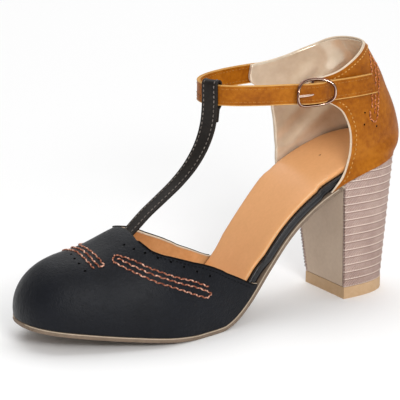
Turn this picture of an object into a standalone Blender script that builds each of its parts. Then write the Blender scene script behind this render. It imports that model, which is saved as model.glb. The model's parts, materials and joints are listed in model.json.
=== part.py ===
"""T-strap shoe, left foot, standing on its sole.

Frame: the origin is on the floor under the ball of the foot, +X to the toe,
+Y to the outer (lateral) side, +Z up. The form functions work in millimetres.
"""
import math

import bmesh
import bpy
import numpy as np
from mathutils import Vector

MM = 0.001
LATERAL = 1
MEDIAL = -1

# Length and floor contact
X_TOE = 90.0
X_HEEL = -137.0
FLAT_FRONT = 6.0
FLAT_BACK = -8.0
TOE_SPRING = 11.4
SPRING_POWER = 1.12
SEAT_HEIGHT = 78.5

# Layers under the foot
GAP = 0.3
OUTSOLE_T = 2.6
BOARD_T = 4.6
SOCK_T = 2.0
SOCK_INSET = 1.7

# Outline: share of the length from the heel, lateral and medial half width
OUTLINE = (
    (0.00, 26.4, 25.6),
    (0.14, 26.4, 25.8),
    (0.28, 25.0, 23.5),
    (0.40, 25.0, 20.8),
    (0.50, 28.8, 22.4),
    (0.60, 33.2, 29.8),
    (0.70, 36.5, 36.0),
    (0.80, 32.9, 37.8),
    (0.90, 30.4, 37.4),
    (1.00, 32.6, 35.0),
)
HEEL_ROUND = 29.0
HEEL_POWER = 2.3
TOE_ROUND = 61.0
TOE_POWER = 2.33
TOE_SHIFT = 5.2

# Arch: share of the way back, share of the seat height
ARCH = (
    (0.00, 0.000),
    (0.05, 0.007),
    (0.10, 0.040),
    (0.19, 0.155),
    (0.29, 0.342),
    (0.41, 0.570),
    (0.53, 0.727),
    (0.65, 0.832),
    (0.77, 0.904),
    (0.89, 0.957),
    (1.00, 1.000),
)

# Vamp
VAMP_WALL = 1.4
X_THROAT = 30.0
X_VAMP_REAR = (-38.0, -38.0)
X_FAN = 40.0
X_CREST_END = 65.0
SIDE_POWER = 1.98
VAMP_BULGE = 1.75
# Crest of the vamp: distance from the toe tip, height over the floor
CREST = (
    (0.0, 41.0),
    (14.0, 43.5),
    (26.0, 45.6),
    (40.0, 47.9),
    (61.0, 55.9),
    (90.0, 62.5),
    (124.0, 78.0),
    (130.0, 82.0),
)
# Topline of the vamp: share from the throat to the rear, lateral and medial share up the rib
VAMP_TOP = (
    (0.00, 0.78, 0.78),
    (0.05, 0.645, 0.72),
    (0.10, 0.59, 0.675),
    (0.20, 0.53, 0.61),
    (0.30, 0.48, 0.54),
    (0.45, 0.41, 0.443),
    (0.60, 0.33, 0.353),
    (0.80, 0.204, 0.233),
    (1.00, 0.02, 0.06),
)

# Quarter
QUARTER_WALL = 1.4
X_WIDEST = -72.0
ANKLE_FRONT = 53.5
# Back curve: height over the floor, x of the back, half width, power of the plan curve
BACK = (
    (81.0, -137.0, 26.0, 3.1),
    (85.0, -139.2, 26.8, 3.0),
    (91.0, -140.6, 27.4, 2.9),
    (101.5, -139.0, 27.8, 2.7),
    (110.0, -136.2, 27.8, 2.5),
    (117.0, -132.9, 27.6, 2.4),
    (127.5, -128.0, 27.2, 2.3),
    (134.0, -123.6, 26.8, 2.3),
    (145.0, -116.0, 26.0, 2.3),
)
BLEND_HEIGHT = 14.0
# Topline of the quarter: x, lateral and medial height
QUARTER_TOP = (
    (-118.0, 144.0, 144.0),
    (-111.0, 142.6, 142.2),
    (-104.0, 139.4, 138.8),
    (-96.0, 135.8, 135.8),
    (-86.0, 131.8, 132.6),
    (-76.0, 129.9, 130.6),
    (-62.0, 129.2, 129.4),
)
# Front edge of the quarter: share up the side, lateral and medial x
QUARTER_FRONT = (
    (0.00, -84.0, -80.4),
    (0.05, -90.0, -80.4),
    (0.12, -93.2, -80.4),
    (0.30, -95.4, -80.6),
    (0.55, -92.2, -79.4),
    (0.70, -86.4, -76.6),
    (0.80, -78.2, -71.3),
    (0.87, -70.0, -64.5),
    (1.00, -68.0, -64.0),
)

# T-strap: path of its middle from under the throat: x, y, height, turn to the outer side
STRAP_T = 1.5
T_STRAP_WIDE = 9.7
T_STRAP_PATH = (
    (38.5, 0.0, 48.4, 0.0),
    (34.0, 0.0, 50.2, 0.0),
    (31.0, 0.0, 51.3, 0.0),
    (28.3, 0.0, 53.0, 0.0),
    (25.0, 0.0, 55.8, 2.0),
    (18.0, 0.0, 61.8, 4.0),
    (8.3, 0.2, 69.0, 7.0),
    (-1.0, 1.0, 76.6, 11.0),
    (-9.0, 2.6, 86.0, 16.0),
    (-14.4, 4.4, 96.6, 20.0),
    (-16.8, 6.0, 107.0, 24.0),
)
T_LOOP_ANGLE = 12.6
T_LOOP_END = 108.5
T_CURL_FROM = 92.0

# Ankle strap on the outer side: x, offset of its middle from the wall
ANKLE_T = 1.6
ANKLE_WIDE = 10.2
ANKLE_RUN = (
    (-110.0, 2.4),
    (-84.0, 2.4),
    (-80.5, 2.45),
    (-78.0, 2.6),
    (-75.0, 3.6),
    (-71.0, 5.2),
    (-67.0, 5.6),
    (-63.0, 5.2),
    (-59.0, 3.4),
    (-56.0, 2.4),
    (-52.0, 1.7),
    (-45.0, 1.1),
    (-16.0, 1.1),
)
X_ANKLE_INNER = -78.0
ANKLE_HEIGHTS = (124.4, 123.0, 123.0)

# Buckle, in the outer side's wall at the bar
BAR_X = -67.0
BAR_OFFSET = 2.5
BAR_RADIUS = 0.7
FRAME_HALF_LONG = 11.5
FRAME_HALF_HIGH = 7.0
FRAME_POWER = 2.7
FRAME_RISE = 4.4
WIRE_RADIUS = 0.8
PRONG_RADIUS = 0.6
PRONG_ABOVE = 7.6
PRONG_TIP = 8.4
PRONG_HOLE = 1.3
BUCKLE_STRAP_T = 1.0
X_BUCKLE_STRAP = -106.0
BEND_X = -71.5
SLOT_HALF = 1.8
# Fold round the bar: along the strap and outward, in turning radii
FOLD = (
    (0.0, -1.0),
    (-0.7, -0.7),
    (-1.0, 0.0),
    (-0.7, 0.7),
    (0.0, 1.0),
    (0.8, 0.75),
    (1.8, 0.1),
    (2.8, -0.27),
    (4.5, -0.27),
)

# Heel
HEEL_BASE_Z = 7.0
LIFT_T = 6.7
BREAST_TOP = -92.4
BREAST_BASE = -98.5
HEEL_BACK = -133.5
HEEL_HALF = 18.8
HEEL_BASE_POWER = 2.5
WRAP_T = 1.2
RIBS = 14
RIB_DEPTH = 0.35


# Form functions

def smooth(table, column, share):
    """Smooth curve through one column of a short table."""
    table = np.asarray(table, float)
    xs = table[:, 0]
    ys = table[:, column]
    share = np.clip(np.asarray(share, float), xs[0], xs[-1])
    slope = np.gradient(ys, xs)
    i = np.clip(np.searchsorted(xs, share) - 1, 0, len(xs) - 2)
    step = xs[i + 1] - xs[i]
    t = (share - xs[i]) / step
    rise = (2 * t**3 - 3 * t**2 + 1) * ys[i] + (3 * t**2 - 2 * t**3) * ys[i + 1]
    lean = (t**3 - 2 * t**2 + t) * slope[i] + (t**3 - t**2) * slope[i + 1]
    return rise + lean * step


def rounding(distance, depth, power):
    """Rises from 0 at an end to 1 at the given depth, like a superellipse."""
    left = 1 - np.clip(np.asarray(distance, float) / depth, 0, 1)
    return (1 - left**power) ** (1 / power)


def half_width(side, x):
    share = (x - X_HEEL) / (X_TOE - X_HEEL)
    wide = smooth(OUTLINE, 1 if side == LATERAL else 2, share)
    return wide * rounding(x - X_HEEL, HEEL_ROUND, HEEL_POWER) * rounding(X_TOE - x, TOE_ROUND, TOE_POWER)


def centre(x):
    """The middle of the forefoot swings to the inner side toward the toe."""
    return -TOE_SHIFT * np.clip(x / X_TOE, 0, 1) ** 2


def profile(x):
    """Height of the outsole's underside."""
    x = np.asarray(x, float)
    toe = np.clip((x - FLAT_FRONT) / (X_TOE - FLAT_FRONT), 0, 1)
    back = np.clip((FLAT_BACK - x) / (FLAT_BACK - X_HEEL), 0, 1)
    return TOE_SPRING * toe**SPRING_POWER + SEAT_HEIGHT * smooth(ARCH, 1, back)


def slope(x):
    """Slope of the underside along the foot."""
    return profile(x + 0.5) - profile(x - 0.5)


def sole_point(x, y, height):
    """Point at a height over the underside, measured square to the profile."""
    long = np.hypot(slope(x), 1)
    return np.stack(np.broadcast_arrays(x - height * slope(x) / long, y, profile(x) + height / long), -1)


FEATHER = OUTSOLE_T + GAP


def feather_z(x):
    """Height over the floor of the layer line that the upper stands on."""
    return profile(x) + FEATHER * np.hypot(slope(x), 1)


def feather(side, x):
    """Point of the feather line, where the upper meets the sole."""
    return sole_point(x, centre(x) + side * half_width(side, x), FEATHER)


def outline_point(side, x, inset):
    """Plan point of the outline, moved inward square to its edge."""
    x = np.asarray(x, float)
    share = np.arccos(np.clip(1 - 2 * (x - X_HEEL) / (X_TOE - X_HEEL), -1, 1)) / np.pi
    step = 0.002

    def plain(at):
        px = X_HEEL + (X_TOE - X_HEEL) * (1 - np.cos(np.pi * at)) / 2
        return np.stack([px, centre(px) + side * half_width(side, px)], -1)

    run = plain(np.minimum(share + step, 1)) - plain(np.maximum(share - step, 0))
    run = run / np.linalg.norm(run, axis=-1, keepdims=True)
    ends = (share < step) | (share > 1 - step)
    inward_x = np.where(ends, np.where(share > 0.5, -1.0, 1.0), side * run[..., 1])
    inward_y = np.where(ends, 0.0, -side * run[..., 0])
    inset = inset(side, x) if callable(inset) else inset
    return x + inward_x * inset, centre(x) + side * half_width(side, x) + inward_y * inset


def vamp_point(side, x, up):
    """Outer face of the vamp: ribs rise from the feather at x to the crest, fanned round the toe."""
    x = np.asarray(x, float)
    foot = feather(side, x)
    share = np.clip((x - X_FAN) / (X_TOE - X_FAN), 0, 1)
    crest_x = np.where(x > X_FAN, X_FAN + (X_CREST_END - X_FAN) * share * (2 - share), x)
    angle = up * math.pi / 2
    out = np.clip(np.cos(angle), 0, 1) ** (2 / SIDE_POWER)
    rise = np.sin(angle) ** (2 / SIDE_POWER)
    bulge = VAMP_BULGE * np.sin(2 * angle)
    edge_x, edge_y = outline_point(side, x, -1.0)
    out_x = edge_x - x
    out_y = edge_y - centre(x) - side * half_width(side, x)
    px = crest_x + (foot[..., 0] - crest_x) * out
    py = centre(crest_x) + (foot[..., 1] - centre(crest_x)) * out
    pz = foot[..., 2] + (smooth(CREST, 1, X_TOE - px) - foot[..., 2]) * rise
    return np.stack(np.broadcast_arrays(px + out_x * bulge, py + out_y * bulge, pz), -1)


def back_x(z):
    return smooth(BACK, 1, z)


def wall_y(side, x, z):
    """Half width of the quarter's outer face at a place and height."""
    xb = back_x(z)
    wide = smooth(BACK, 2, z)
    power = smooth(BACK, 3, z)
    along = np.clip((X_WIDEST - x) / (X_WIDEST - xb), 0, 1)
    front = np.clip((x - X_WIDEST) / ANKLE_FRONT, 0, 1)
    egg = wide * (1 - along**power) ** (1 / power) * np.sqrt(1 - front**2)
    stretched = X_WIDEST + (x - X_WIDEST) * (X_WIDEST - X_HEEL) / (X_WIDEST - xb)
    sole = half_width(side, np.where(x < X_WIDEST, stretched, x)) + wide - BACK[0][2]
    up = np.clip((z - feather_z(x)) / BLEND_HEIGHT, 0, 1)
    blend = up * up * (3 - 2 * up)
    return side * (sole + (egg - sole) * blend)


def quarter_point(side, along, up):
    """Outer face of the quarter: along runs 0 at the front edge to 1 at the back seam."""
    front = smooth(QUARTER_FRONT, 1 if side == LATERAL else 2, up)
    share = np.sin(along * math.pi / 2)
    x = np.full_like(share, -110.0) if np.ndim(share) else -110.0
    for _ in range(12):
        low = feather_z(x)
        high = smooth(QUARTER_TOP, 1 if side == LATERAL else 2, x)
        z = low + (high - low) * up
        x = front + (back_x(z) - front) * share
    # the two sides meet in the middle of the back
    y = wall_y(side, x, z) * (share < 1)
    return np.stack(np.broadcast_arrays(x, y, z), -1)


def stations(x_back, x_front, count):
    """Places along the foot, crowded toward its round ends."""
    ends = [math.acos(1 - 2 * (x - X_HEEL) / (X_TOE - X_HEEL)) for x in (x_back, x_front)]
    return X_HEEL + (X_TOE - X_HEEL) * (1 - np.cos(np.linspace(*ends, count))) / 2


def sole_grid(x_back, x_front, inset, height, rows=36, columns=7):
    """Sheet across the foot that follows the profile at one height."""
    along = stations(x_back, x_front, rows)
    left = outline_point(LATERAL, along, inset)
    right = outline_point(MEDIAL, along, inset)
    across = np.linspace(0, 1, columns)[None, :]
    x = left[0][:, None] * (1 - across) + right[0][:, None] * across
    y = left[1][:, None] * (1 - across) + right[1][:, None] * across
    return sole_point(x, y, height)


def step_up(x, start, length):
    share = np.clip((x - start) / length, 0, 1)
    return share * share * (3 - 2 * share)


def board_inset(side, x):
    """The board is bare at the open waist and tucked inside the walls elsewhere."""
    tucked = VAMP_WALL + GAP + 0.4
    rear = X_VAMP_REAR[0 if side == LATERAL else 1]
    front = QUARTER_FRONT[0][1 if side == LATERAL else 2]
    inside = step_up(x, rear - 10.0, 4.0) + 1 - step_up(x, front + 1.0, 4.0)
    return GAP + (tucked - GAP) * inside


def sock_inset(side, x):
    return board_inset(side, x) + SOCK_INSET


def vamp_grids(rows=14, columns=10, crown=4):
    """Outer face of the vamp: two sides, and the crown that joins them ahead of the throat."""
    grids = []
    for side, column in ((LATERAL, 1), (MEDIAL, 2)):
        rear = X_VAMP_REAR[0 if side == LATERAL else 1]
        corner = VAMP_TOP[0][column]
        ahead = X_THROAT + (X_TOE - X_THROAT) * np.sin(np.linspace(1, 0, rows) * math.pi / 2)
        behind = np.linspace(0, 1, rows) ** 1.4
        x = np.concatenate([ahead, X_THROAT + (rear - X_THROAT) * behind[1:]])
        cut = smooth(VAMP_TOP, column, (X_THROAT - x) / (X_THROAT - rear))
        up = cut[:, None] * np.linspace(0, 1, columns)[None, :]
        grids.append((vamp_point(side, x[:, None] + 0 * up, up), side == LATERAL))
        up = np.linspace(corner, 1, crown)[None, :] + 0 * ahead[:, None]
        grids.append((vamp_point(side, ahead[:, None] + 0 * up, up), side == LATERAL))
    return grids


def quarter_grids(rows=11, columns=15):
    grids = []
    for side in (LATERAL, MEDIAL):
        along = np.linspace(0, 1, columns)[None, :] + np.zeros((rows, 1))
        up = np.linspace(0, 1, rows)[:, None] + np.zeros((1, columns))
        grids.append((quarter_point(side, along, up), side == MEDIAL))
    return grids


def heel_point(side, along, down, inset):
    """Outer face of the heel: along runs from the breast round to the back, down from seat to base."""
    share = np.sin(along * math.pi / 2)
    top_x = BREAST_TOP + (X_HEEL + inset - BREAST_TOP) * share
    wide = smooth(OUTLINE, 1 if side == LATERAL else 2, (top_x - X_HEEL) / (X_TOE - X_HEEL)) - inset
    top_y = wide * rounding(top_x - X_HEEL - inset, HEEL_ROUND, HEEL_POWER)
    top_z = profile(top_x) + OUTSOLE_T
    base_x = BREAST_BASE + (HEEL_BACK + inset - BREAST_BASE) * share
    base_y = (HEEL_HALF - inset) * (1 - share**HEEL_BASE_POWER) ** (1 / HEEL_BASE_POWER)
    x = top_x + (base_x - top_x) * down
    y = top_y + (base_y - top_y) * down
    z = top_z + (HEEL_BASE_Z - top_z) * down
    return np.stack(np.broadcast_arrays(x, side * y, z), -1)


def smooth_path(points, count):
    """Evenly spaced points on a smooth curve through a short list."""
    points = np.asarray(points, float)
    reach = np.concatenate([[0], np.cumsum(np.linalg.norm(np.diff(points, axis=0), axis=1))])
    table = np.column_stack([reach, points])
    fine = np.linspace(0, reach[-1], 400)
    curve = np.stack([smooth(table, k, fine) for k in range(1, table.shape[1])], 1)
    length = np.concatenate([[0], np.cumsum(np.linalg.norm(np.diff(curve, axis=0), axis=1))])
    even = np.linspace(0, length[-1], count)
    return np.stack([np.interp(even, length, curve[:, k]) for k in range(curve.shape[1])], 1)


def egg_point(angle, z):
    """Plan of the ankle line: 0 at the front, +90 degrees outside, 180 at the back."""
    wide = smooth(BACK, 2, z)
    power = smooth(BACK, 3, z)
    c = np.cos(angle)
    s = np.sin(angle)
    back = X_WIDEST - back_x(z)
    front = c >= 0
    x = np.where(front, X_WIDEST + ANKLE_FRONT * c, X_WIDEST - back * np.abs(c) ** (2 / power))
    y = np.where(front, wide * s, wide * np.sign(s) * np.abs(s) ** (2 / power))
    return np.stack([x, y], -1)


def t_strap_grid(rows=24, columns=5):
    """Up from under the throat, over the ankle strap and down behind it."""
    angle = math.radians(T_LOOP_ANGLE)
    height = ANKLE_HEIGHTS[1]
    here = egg_point(angle, height)
    run = egg_point(angle + 0.01, height) - egg_point(angle - 0.01, height)
    turned = math.degrees(math.atan2(-run[0], run[1]))
    middle = ANKLE_RUN[-1][1]
    turn = ANKLE_T / 2 + GAP + STRAP_T / 2
    top = height + ANKLE_WIDE / 2 + GAP

    radius = float(smooth(BACK, 2, height)) ** 2 / ANKLE_FRONT

    def beside(offset, z):
        """Point of the loop with the turn and the curl that follow the ankle strap."""
        lean = math.radians(turned)
        curl = 1 / (radius + offset)
        return (here[0] + offset * math.cos(lean), here[1] + offset * math.sin(lean), z, turned, curl)

    rise = [beside(middle + turn, height - ANKLE_WIDE / 2 - 1.0), beside(middle + turn, top)]
    full = rise[0][4]
    curls = [full * float(step_up(point[2], T_CURL_FROM, rise[0][2] - T_CURL_FROM)) for point in T_STRAP_PATH]
    front = [(*point, curl) for point, curl in zip(T_STRAP_PATH, curls)] + rise
    path = list(smooth_path(front, rows))
    for fold in (30, 60, 90, 120, 150, 180):
        lean = math.radians(fold)
        path.append(beside(middle + turn * math.cos(lean), top + turn * math.sin(lean)))
    path.append(beside(middle - turn, height - ANKLE_WIDE / 2 - 0.5))
    inside = STRAP_T + GAP + 0.1
    for drop in (2.5, height - ANKLE_WIDE / 2 - T_LOOP_END):
        z = height - ANKLE_WIDE / 2 - drop
        outer = path[int(np.argmin([abs(point[2] - z) for point in path[:rows]]))]
        lean = math.radians(outer[3])
        path.append((outer[0] - inside * math.cos(lean), outer[1] - inside * math.sin(lean), *outer[2:]))
    path = np.asarray(path)
    across = np.linspace(-0.5, 0.5, columns)[None, :] * T_STRAP_WIDE
    lean = np.radians(path[:, 3])[:, None]
    sag = across**2 * path[:, 4][:, None] / 2
    x = path[:, 0][:, None] - across * np.sin(lean) - sag * np.cos(lean)
    y = path[:, 1][:, None] + across * np.cos(lean) - sag * np.sin(lean)
    z = path[:, 2][:, None] + 0 * across
    return np.stack([x, y, z], -1)


def wall_ribbon(angles, heights, offsets, across):
    """Ribbon that rides the ankle line at its own offset."""
    rows = []
    for angle, height, offset in zip(angles, heights, offsets):
        z = height + across
        here = egg_point(angle, z)
        run = egg_point(angle + 0.01, z) - egg_point(angle - 0.01, z)
        run = run / np.linalg.norm(run, axis=-1, keepdims=True)
        rows.append(np.stack([here[:, 0] + run[:, 1] * offset, here[:, 1] - run[:, 0] * offset, z], -1))
    return np.asarray(rows)


def angle_at(side, x, z):
    """Angle on the ankle line for a place on one side."""
    if x >= X_WIDEST:
        return side * math.acos((x - X_WIDEST) / ANKLE_FRONT)
    share = (X_WIDEST - x) / (X_WIDEST - float(back_x(z)))
    return side * (math.pi - math.acos(share ** (float(smooth(BACK, 3, z)) / 2)))


def ankle_grid(rows=52):
    """Long strap from the inner wing round the front and through the buckle."""
    start = angle_at(MEDIAL, X_ANKLE_INNER, ANKLE_HEIGHTS[0])
    end = angle_at(LATERAL, ANKLE_RUN[0][0], ANKLE_HEIGHTS[2])
    angles = np.linspace(start, end, rows)
    heights = np.interp(angles, [start, 0, math.pi / 3, end], [*ANKLE_HEIGHTS, ANKLE_HEIGHTS[2]])
    x = egg_point(angles, heights)[:, 0]
    offsets = np.where(angles > 0, smooth(ANKLE_RUN, 1, x), ANKLE_RUN[-1][1])
    return wall_ribbon(angles, heights, offsets, np.linspace(-0.5, 0.5, 5) * ANKLE_WIDE)


def buckle_point(along, high, offset):
    """Point in the buckle's own plane: along the strap, up, and out from the wall."""
    height = ANKLE_HEIGHTS[2]
    angle = angle_at(LATERAL, BAR_X, height)
    here = egg_point(angle, height)
    run = egg_point(angle + 0.01, height) - egg_point(angle - 0.01, height)
    run = run / np.linalg.norm(run)
    x = here[0] + run[0] * along + run[1] * offset
    y = here[1] + run[1] * along - run[0] * offset
    return (float(x), float(y), height + high)


def frame_path(count=36):
    """Rounded oval whose two ends rise clear of the strap."""
    path = []
    for angle in np.linspace(0, 2 * math.pi, count, endpoint=False):
        c, s = math.cos(angle), math.sin(angle)
        along = FRAME_HALF_LONG * math.copysign(abs(c) ** (2 / FRAME_POWER), c)
        high = FRAME_HALF_HIGH * math.copysign(abs(s) ** (2 / FRAME_POWER), s)
        path.append(buckle_point(along, high, BAR_OFFSET + FRAME_RISE * (along / FRAME_HALF_LONG) ** 2))
    return path


def prong_path():
    """Open ring round the bar, then the arm out through the strap to the frame's front end."""
    ring = BAR_RADIUS + GAP + PRONG_RADIUS
    path = []
    for angle in range(-60, 181, 30):
        lean = math.radians(angle)
        path.append(buckle_point(ring * math.cos(lean), 0, BAR_OFFSET - ring * math.sin(lean)))
    path.append(buckle_point(-ring, 0, BAR_OFFSET + 2.0))
    path.append(buckle_point(-ring - 0.6, 0, PRONG_ABOVE - 0.8))
    path.append(buckle_point(-ring - 2.0, 0, PRONG_ABOVE))
    path.append(buckle_point(-FRAME_HALF_LONG + 2.0, 0, PRONG_TIP + 0.1))
    path.append(buckle_point(-FRAME_HALF_LONG - 0.6, 0, PRONG_TIP))
    return path


def buckle_strap_grids(rows=14):
    """Short strap on the outer wall; its front end folds round the bar in two tabs."""
    height = ANKLE_HEIGHTS[2]
    near = BUCKLE_STRAP_T / 2 + GAP
    turn = BAR_RADIUS + GAP + BUCKLE_STRAP_T / 2
    grids = []
    start = angle_at(LATERAL, X_BUCKLE_STRAP, height)
    bend = angle_at(LATERAL, BEND_X, height)
    angles = np.linspace(start, bend, rows)
    full = np.array([-0.5, -SLOT_HALF / ANKLE_WIDE, SLOT_HALF / ANKLE_WIDE, 0.5]) * ANKLE_WIDE
    body = wall_ribbon(angles, np.full(rows, height), np.full(rows, near), full)
    grids.append((body, False))
    last = body[-1]
    for low, high in ((0, 1), (2, 3)):
        tab = [last[[low, high]]]
        for along, out in FOLD:
            tab.append([buckle_point(along * turn, full[k], BAR_OFFSET + out * turn) for k in (low, high)])
        grids.append((np.array([np.asarray(row) for row in tab]), False))
    return grids


def wrap_grids(columns=9):
    """Ribbed cover: each rib swells a little between two grooves."""
    down = np.linspace(0, 1, RIBS * 2 + 1)
    swell = RIB_DEPTH * (np.arange(len(down)) % 2)
    grids = []
    for side in (LATERAL, MEDIAL):
        along = np.linspace(0, 1, columns)[None, :] + np.zeros((len(down), 1))
        grids.append((heel_point(side, along, down[:, None], RIB_DEPTH - swell[:, None]), side == LATERAL))
    return grids


def heel_rings(inset, down, columns=9):
    along = np.linspace(0, 1, columns)[None, :] + np.zeros((len(down), 1))
    return [heel_point(side, along, down[:, None], inset) for side in (LATERAL, MEDIAL)]


def lift_rings():
    rings = []
    for ring in heel_rings(0.0, np.array([1.0])):
        top = ring + np.array([0.0, 0.0, LIFT_T - HEEL_BASE_Z])
        rings.append(np.concatenate([top, top * np.array([1.0, 1.0, 0.0])]))
    return rings


# Mesh helpers

def make_mesh(name, grids):
    """One sheet from grids of points; a flag turns a grid's faces over."""
    mesh = bpy.data.meshes.new(name)
    bm = bmesh.new()
    for grid, turned in grids:
        rows, columns = grid.shape[:2]
        verts = [[bm.verts.new(Vector(point) * MM) for point in row] for row in grid.tolist()]
        for i in range(rows - 1):
            for j in range(columns - 1):
                ring = [verts[i][j], verts[i][j + 1], verts[i + 1][j + 1], verts[i + 1][j]]
                bm.faces.new(ring[::-1] if turned else ring)
    bmesh.ops.remove_doubles(bm, verts=bm.verts, dist=0.00001)
    bmesh.ops.dissolve_degenerate(bm, edges=bm.edges, dist=0.00001)
    for face in bm.faces:
        face.smooth = True
    bm.to_mesh(mesh)
    bm.free()
    return mesh


def material(name, colour, roughness, metallic=0.0):
    made = bpy.data.materials.new(name)
    made.use_nodes = True
    shader = made.node_tree.nodes["Principled BSDF"]
    shader.inputs["Base Color"].default_value = (*colour, 1.0)
    shader.inputs["Roughness"].default_value = roughness
    shader.inputs["Metallic"].default_value = metallic
    return made


def add_object(name, mesh, look):
    obj = bpy.data.objects.new(name, mesh)
    parts.objects.link(obj)
    obj.data.materials.append(material(name, *look))
    return obj


def add_sheet(name, grids, thickness, look, offset=-1.0):
    """A sheet given its real wall."""
    obj = add_object(name, make_mesh(name, grids), look)
    wall = obj.modifiers.new("wall", "SOLIDIFY")
    wall.thickness = thickness * MM
    wall.offset = offset
    return obj


def add_block(name, rings, look):
    """Closed block from levels of points that run outer side, then inner side."""
    outer, inner = rings
    grids = [
        (outer, True),
        (inner, False),
        (np.stack([outer[:, 0], inner[:, 0]], 1), False),
        (np.stack([outer[0], inner[0]], 0), False),
        (np.stack([outer[-1], inner[-1]], 0), True),
    ]
    return add_object(name, make_mesh(name, grids), look)


def add_cutter(name, mesh):
    obj = bpy.data.objects.new(name, mesh)
    cutters.objects.link(obj)
    obj.hide_render = True
    obj.display_type = "WIRE"
    return obj


def add_boolean(obj, operation, tool):
    cut = obj.modifiers.new(tool.name, "BOOLEAN")
    cut.operation = operation
    cut.solver = "EXACT"
    cut.object = tool


def wire(name, points, radius, cyclic):
    """Round wire along a path, as a mesh."""
    curve = bpy.data.curves.new(name, "CURVE")
    curve.dimensions = "3D"
    curve.bevel_depth = radius * MM
    curve.bevel_resolution = 2
    curve.use_fill_caps = True
    spline = curve.splines.new("POLY")
    spline.points.add(len(points) - 1)
    for slot, point in zip(spline.points, points):
        slot.co = (*(Vector(point) * MM), 1.0)
    spline.use_cyclic_u = cyclic
    holder = bpy.data.objects.new(name, curve)
    mesh = bpy.data.meshes.new_from_object(holder)
    bpy.data.objects.remove(holder)
    bpy.data.curves.remove(curve)
    bm = bmesh.new()
    bm.from_mesh(mesh)
    bmesh.ops.remove_doubles(bm, verts=bm.verts, dist=0.00001)
    for face in bm.faces:
        face.smooth = True
    bm.to_mesh(mesh)
    bm.free()
    mesh.name = name
    return mesh


# Build

for old in list(bpy.data.objects):
    bpy.data.objects.remove(old, do_unlink=True)
parts = bpy.data.collections.new("t_strap_shoe")
cutters = bpy.data.collections.new("cutters")
bpy.context.scene.collection.children.link(parts)
bpy.context.scene.collection.children.link(cutters)

BLACK = ((0.022, 0.023, 0.027), 0.7)
OCHRE = ((0.42, 0.19, 0.035), 0.45)
RUBBER = ((0.55, 0.42, 0.28), 0.6)
TAN = ((0.80, 0.45, 0.20), 0.5)
CREAM = ((0.52, 0.44, 0.33), 0.5)
TAUPE = ((0.50, 0.38, 0.32), 0.6)
ROSE_METAL = ((0.75, 0.55, 0.45), 0.25, 1.0)

add_sheet("outsole", [(sole_grid(BREAST_TOP + 1.4, X_TOE, 0.0, 0.0), True)], OUTSOLE_T, RUBBER)
add_sheet("insole_board", [(sole_grid(X_HEEL, X_TOE, board_inset, FEATHER), True)], BOARD_T, BLACK)
sock_height = FEATHER + BOARD_T + GAP
add_sheet("sock_lining", [(sole_grid(X_HEEL, X_TOE, sock_inset, sock_height), True)], SOCK_T, TAN)
add_sheet("vamp", vamp_grids(), VAMP_WALL, BLACK)
add_sheet("quarter", quarter_grids(), QUARTER_WALL, OCHRE)
add_sheet("t_strap", [(t_strap_grid(), False)], STRAP_T, BLACK, offset=0.0)
ankle = add_sheet("ankle_strap", [(ankle_grid(), False)], ANKLE_T, OCHRE, offset=0.0)
hole_run = [buckle_point(-2.2, 0, out) for out in (3.6, 8.0)]
hole = add_cutter("prong_hole", wire("prong_hole", hole_run, PRONG_HOLE, False))
add_boolean(ankle, "DIFFERENCE", hole)
add_sheet("buckle_strap", buckle_strap_grids(), BUCKLE_STRAP_T, OCHRE, offset=0.0)

frame = add_object("buckle_frame", wire("buckle_frame", frame_path(), WIRE_RADIUS, True), ROSE_METAL)
bar_ends = [buckle_point(0, high, BAR_OFFSET) for high in (-FRAME_HALF_HIGH, FRAME_HALF_HIGH)]
bar = add_cutter("buckle_bar", wire("buckle_bar", bar_ends, BAR_RADIUS, False))
add_boolean(frame, "UNION", bar)
add_object("buckle_prong", wire("buckle_prong", prong_path(), PRONG_RADIUS, False), ROSE_METAL)

add_block("heel_block", heel_rings(WRAP_T + RIB_DEPTH + GAP, np.linspace(0, 1, 8)), CREAM)
add_sheet("heel_wrap", wrap_grids(), WRAP_T, TAUPE)
add_block("top_piece", lift_rings(), TAN)
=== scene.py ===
"""Looks of the T-strap shoe: fine skins, linings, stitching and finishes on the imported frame.

The sizes and form functions repeat the model's own, in millimetres: +X to the
toe, +Y to the outer (lateral) side, +Z up, origin on the floor under the ball.
"""
import json
import math

import bmesh
import bpy
import numpy as np
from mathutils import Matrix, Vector

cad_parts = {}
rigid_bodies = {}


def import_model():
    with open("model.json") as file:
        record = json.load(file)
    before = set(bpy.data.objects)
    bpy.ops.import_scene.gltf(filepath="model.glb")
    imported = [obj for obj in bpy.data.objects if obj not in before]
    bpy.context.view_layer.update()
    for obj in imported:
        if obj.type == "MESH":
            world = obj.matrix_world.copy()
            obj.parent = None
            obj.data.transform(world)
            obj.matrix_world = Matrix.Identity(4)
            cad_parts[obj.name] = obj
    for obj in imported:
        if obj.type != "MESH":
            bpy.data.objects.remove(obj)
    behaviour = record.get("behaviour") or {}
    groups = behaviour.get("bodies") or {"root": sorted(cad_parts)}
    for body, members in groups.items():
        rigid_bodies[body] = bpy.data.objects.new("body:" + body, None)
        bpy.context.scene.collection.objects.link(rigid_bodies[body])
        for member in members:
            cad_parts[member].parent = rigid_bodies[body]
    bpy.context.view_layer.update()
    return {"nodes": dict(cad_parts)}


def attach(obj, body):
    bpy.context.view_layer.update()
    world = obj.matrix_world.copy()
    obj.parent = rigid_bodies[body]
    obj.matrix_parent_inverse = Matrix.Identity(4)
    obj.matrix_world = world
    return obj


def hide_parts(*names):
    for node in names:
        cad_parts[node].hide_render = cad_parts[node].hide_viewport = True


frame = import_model()

MM = 0.001
LATERAL = 1
MEDIAL = -1
SIDES = ((LATERAL, "outer"), (MEDIAL, "inner"))
# Column of a table that holds each side
COLUMN = {LATERAL: 1, MEDIAL: 2}

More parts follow.
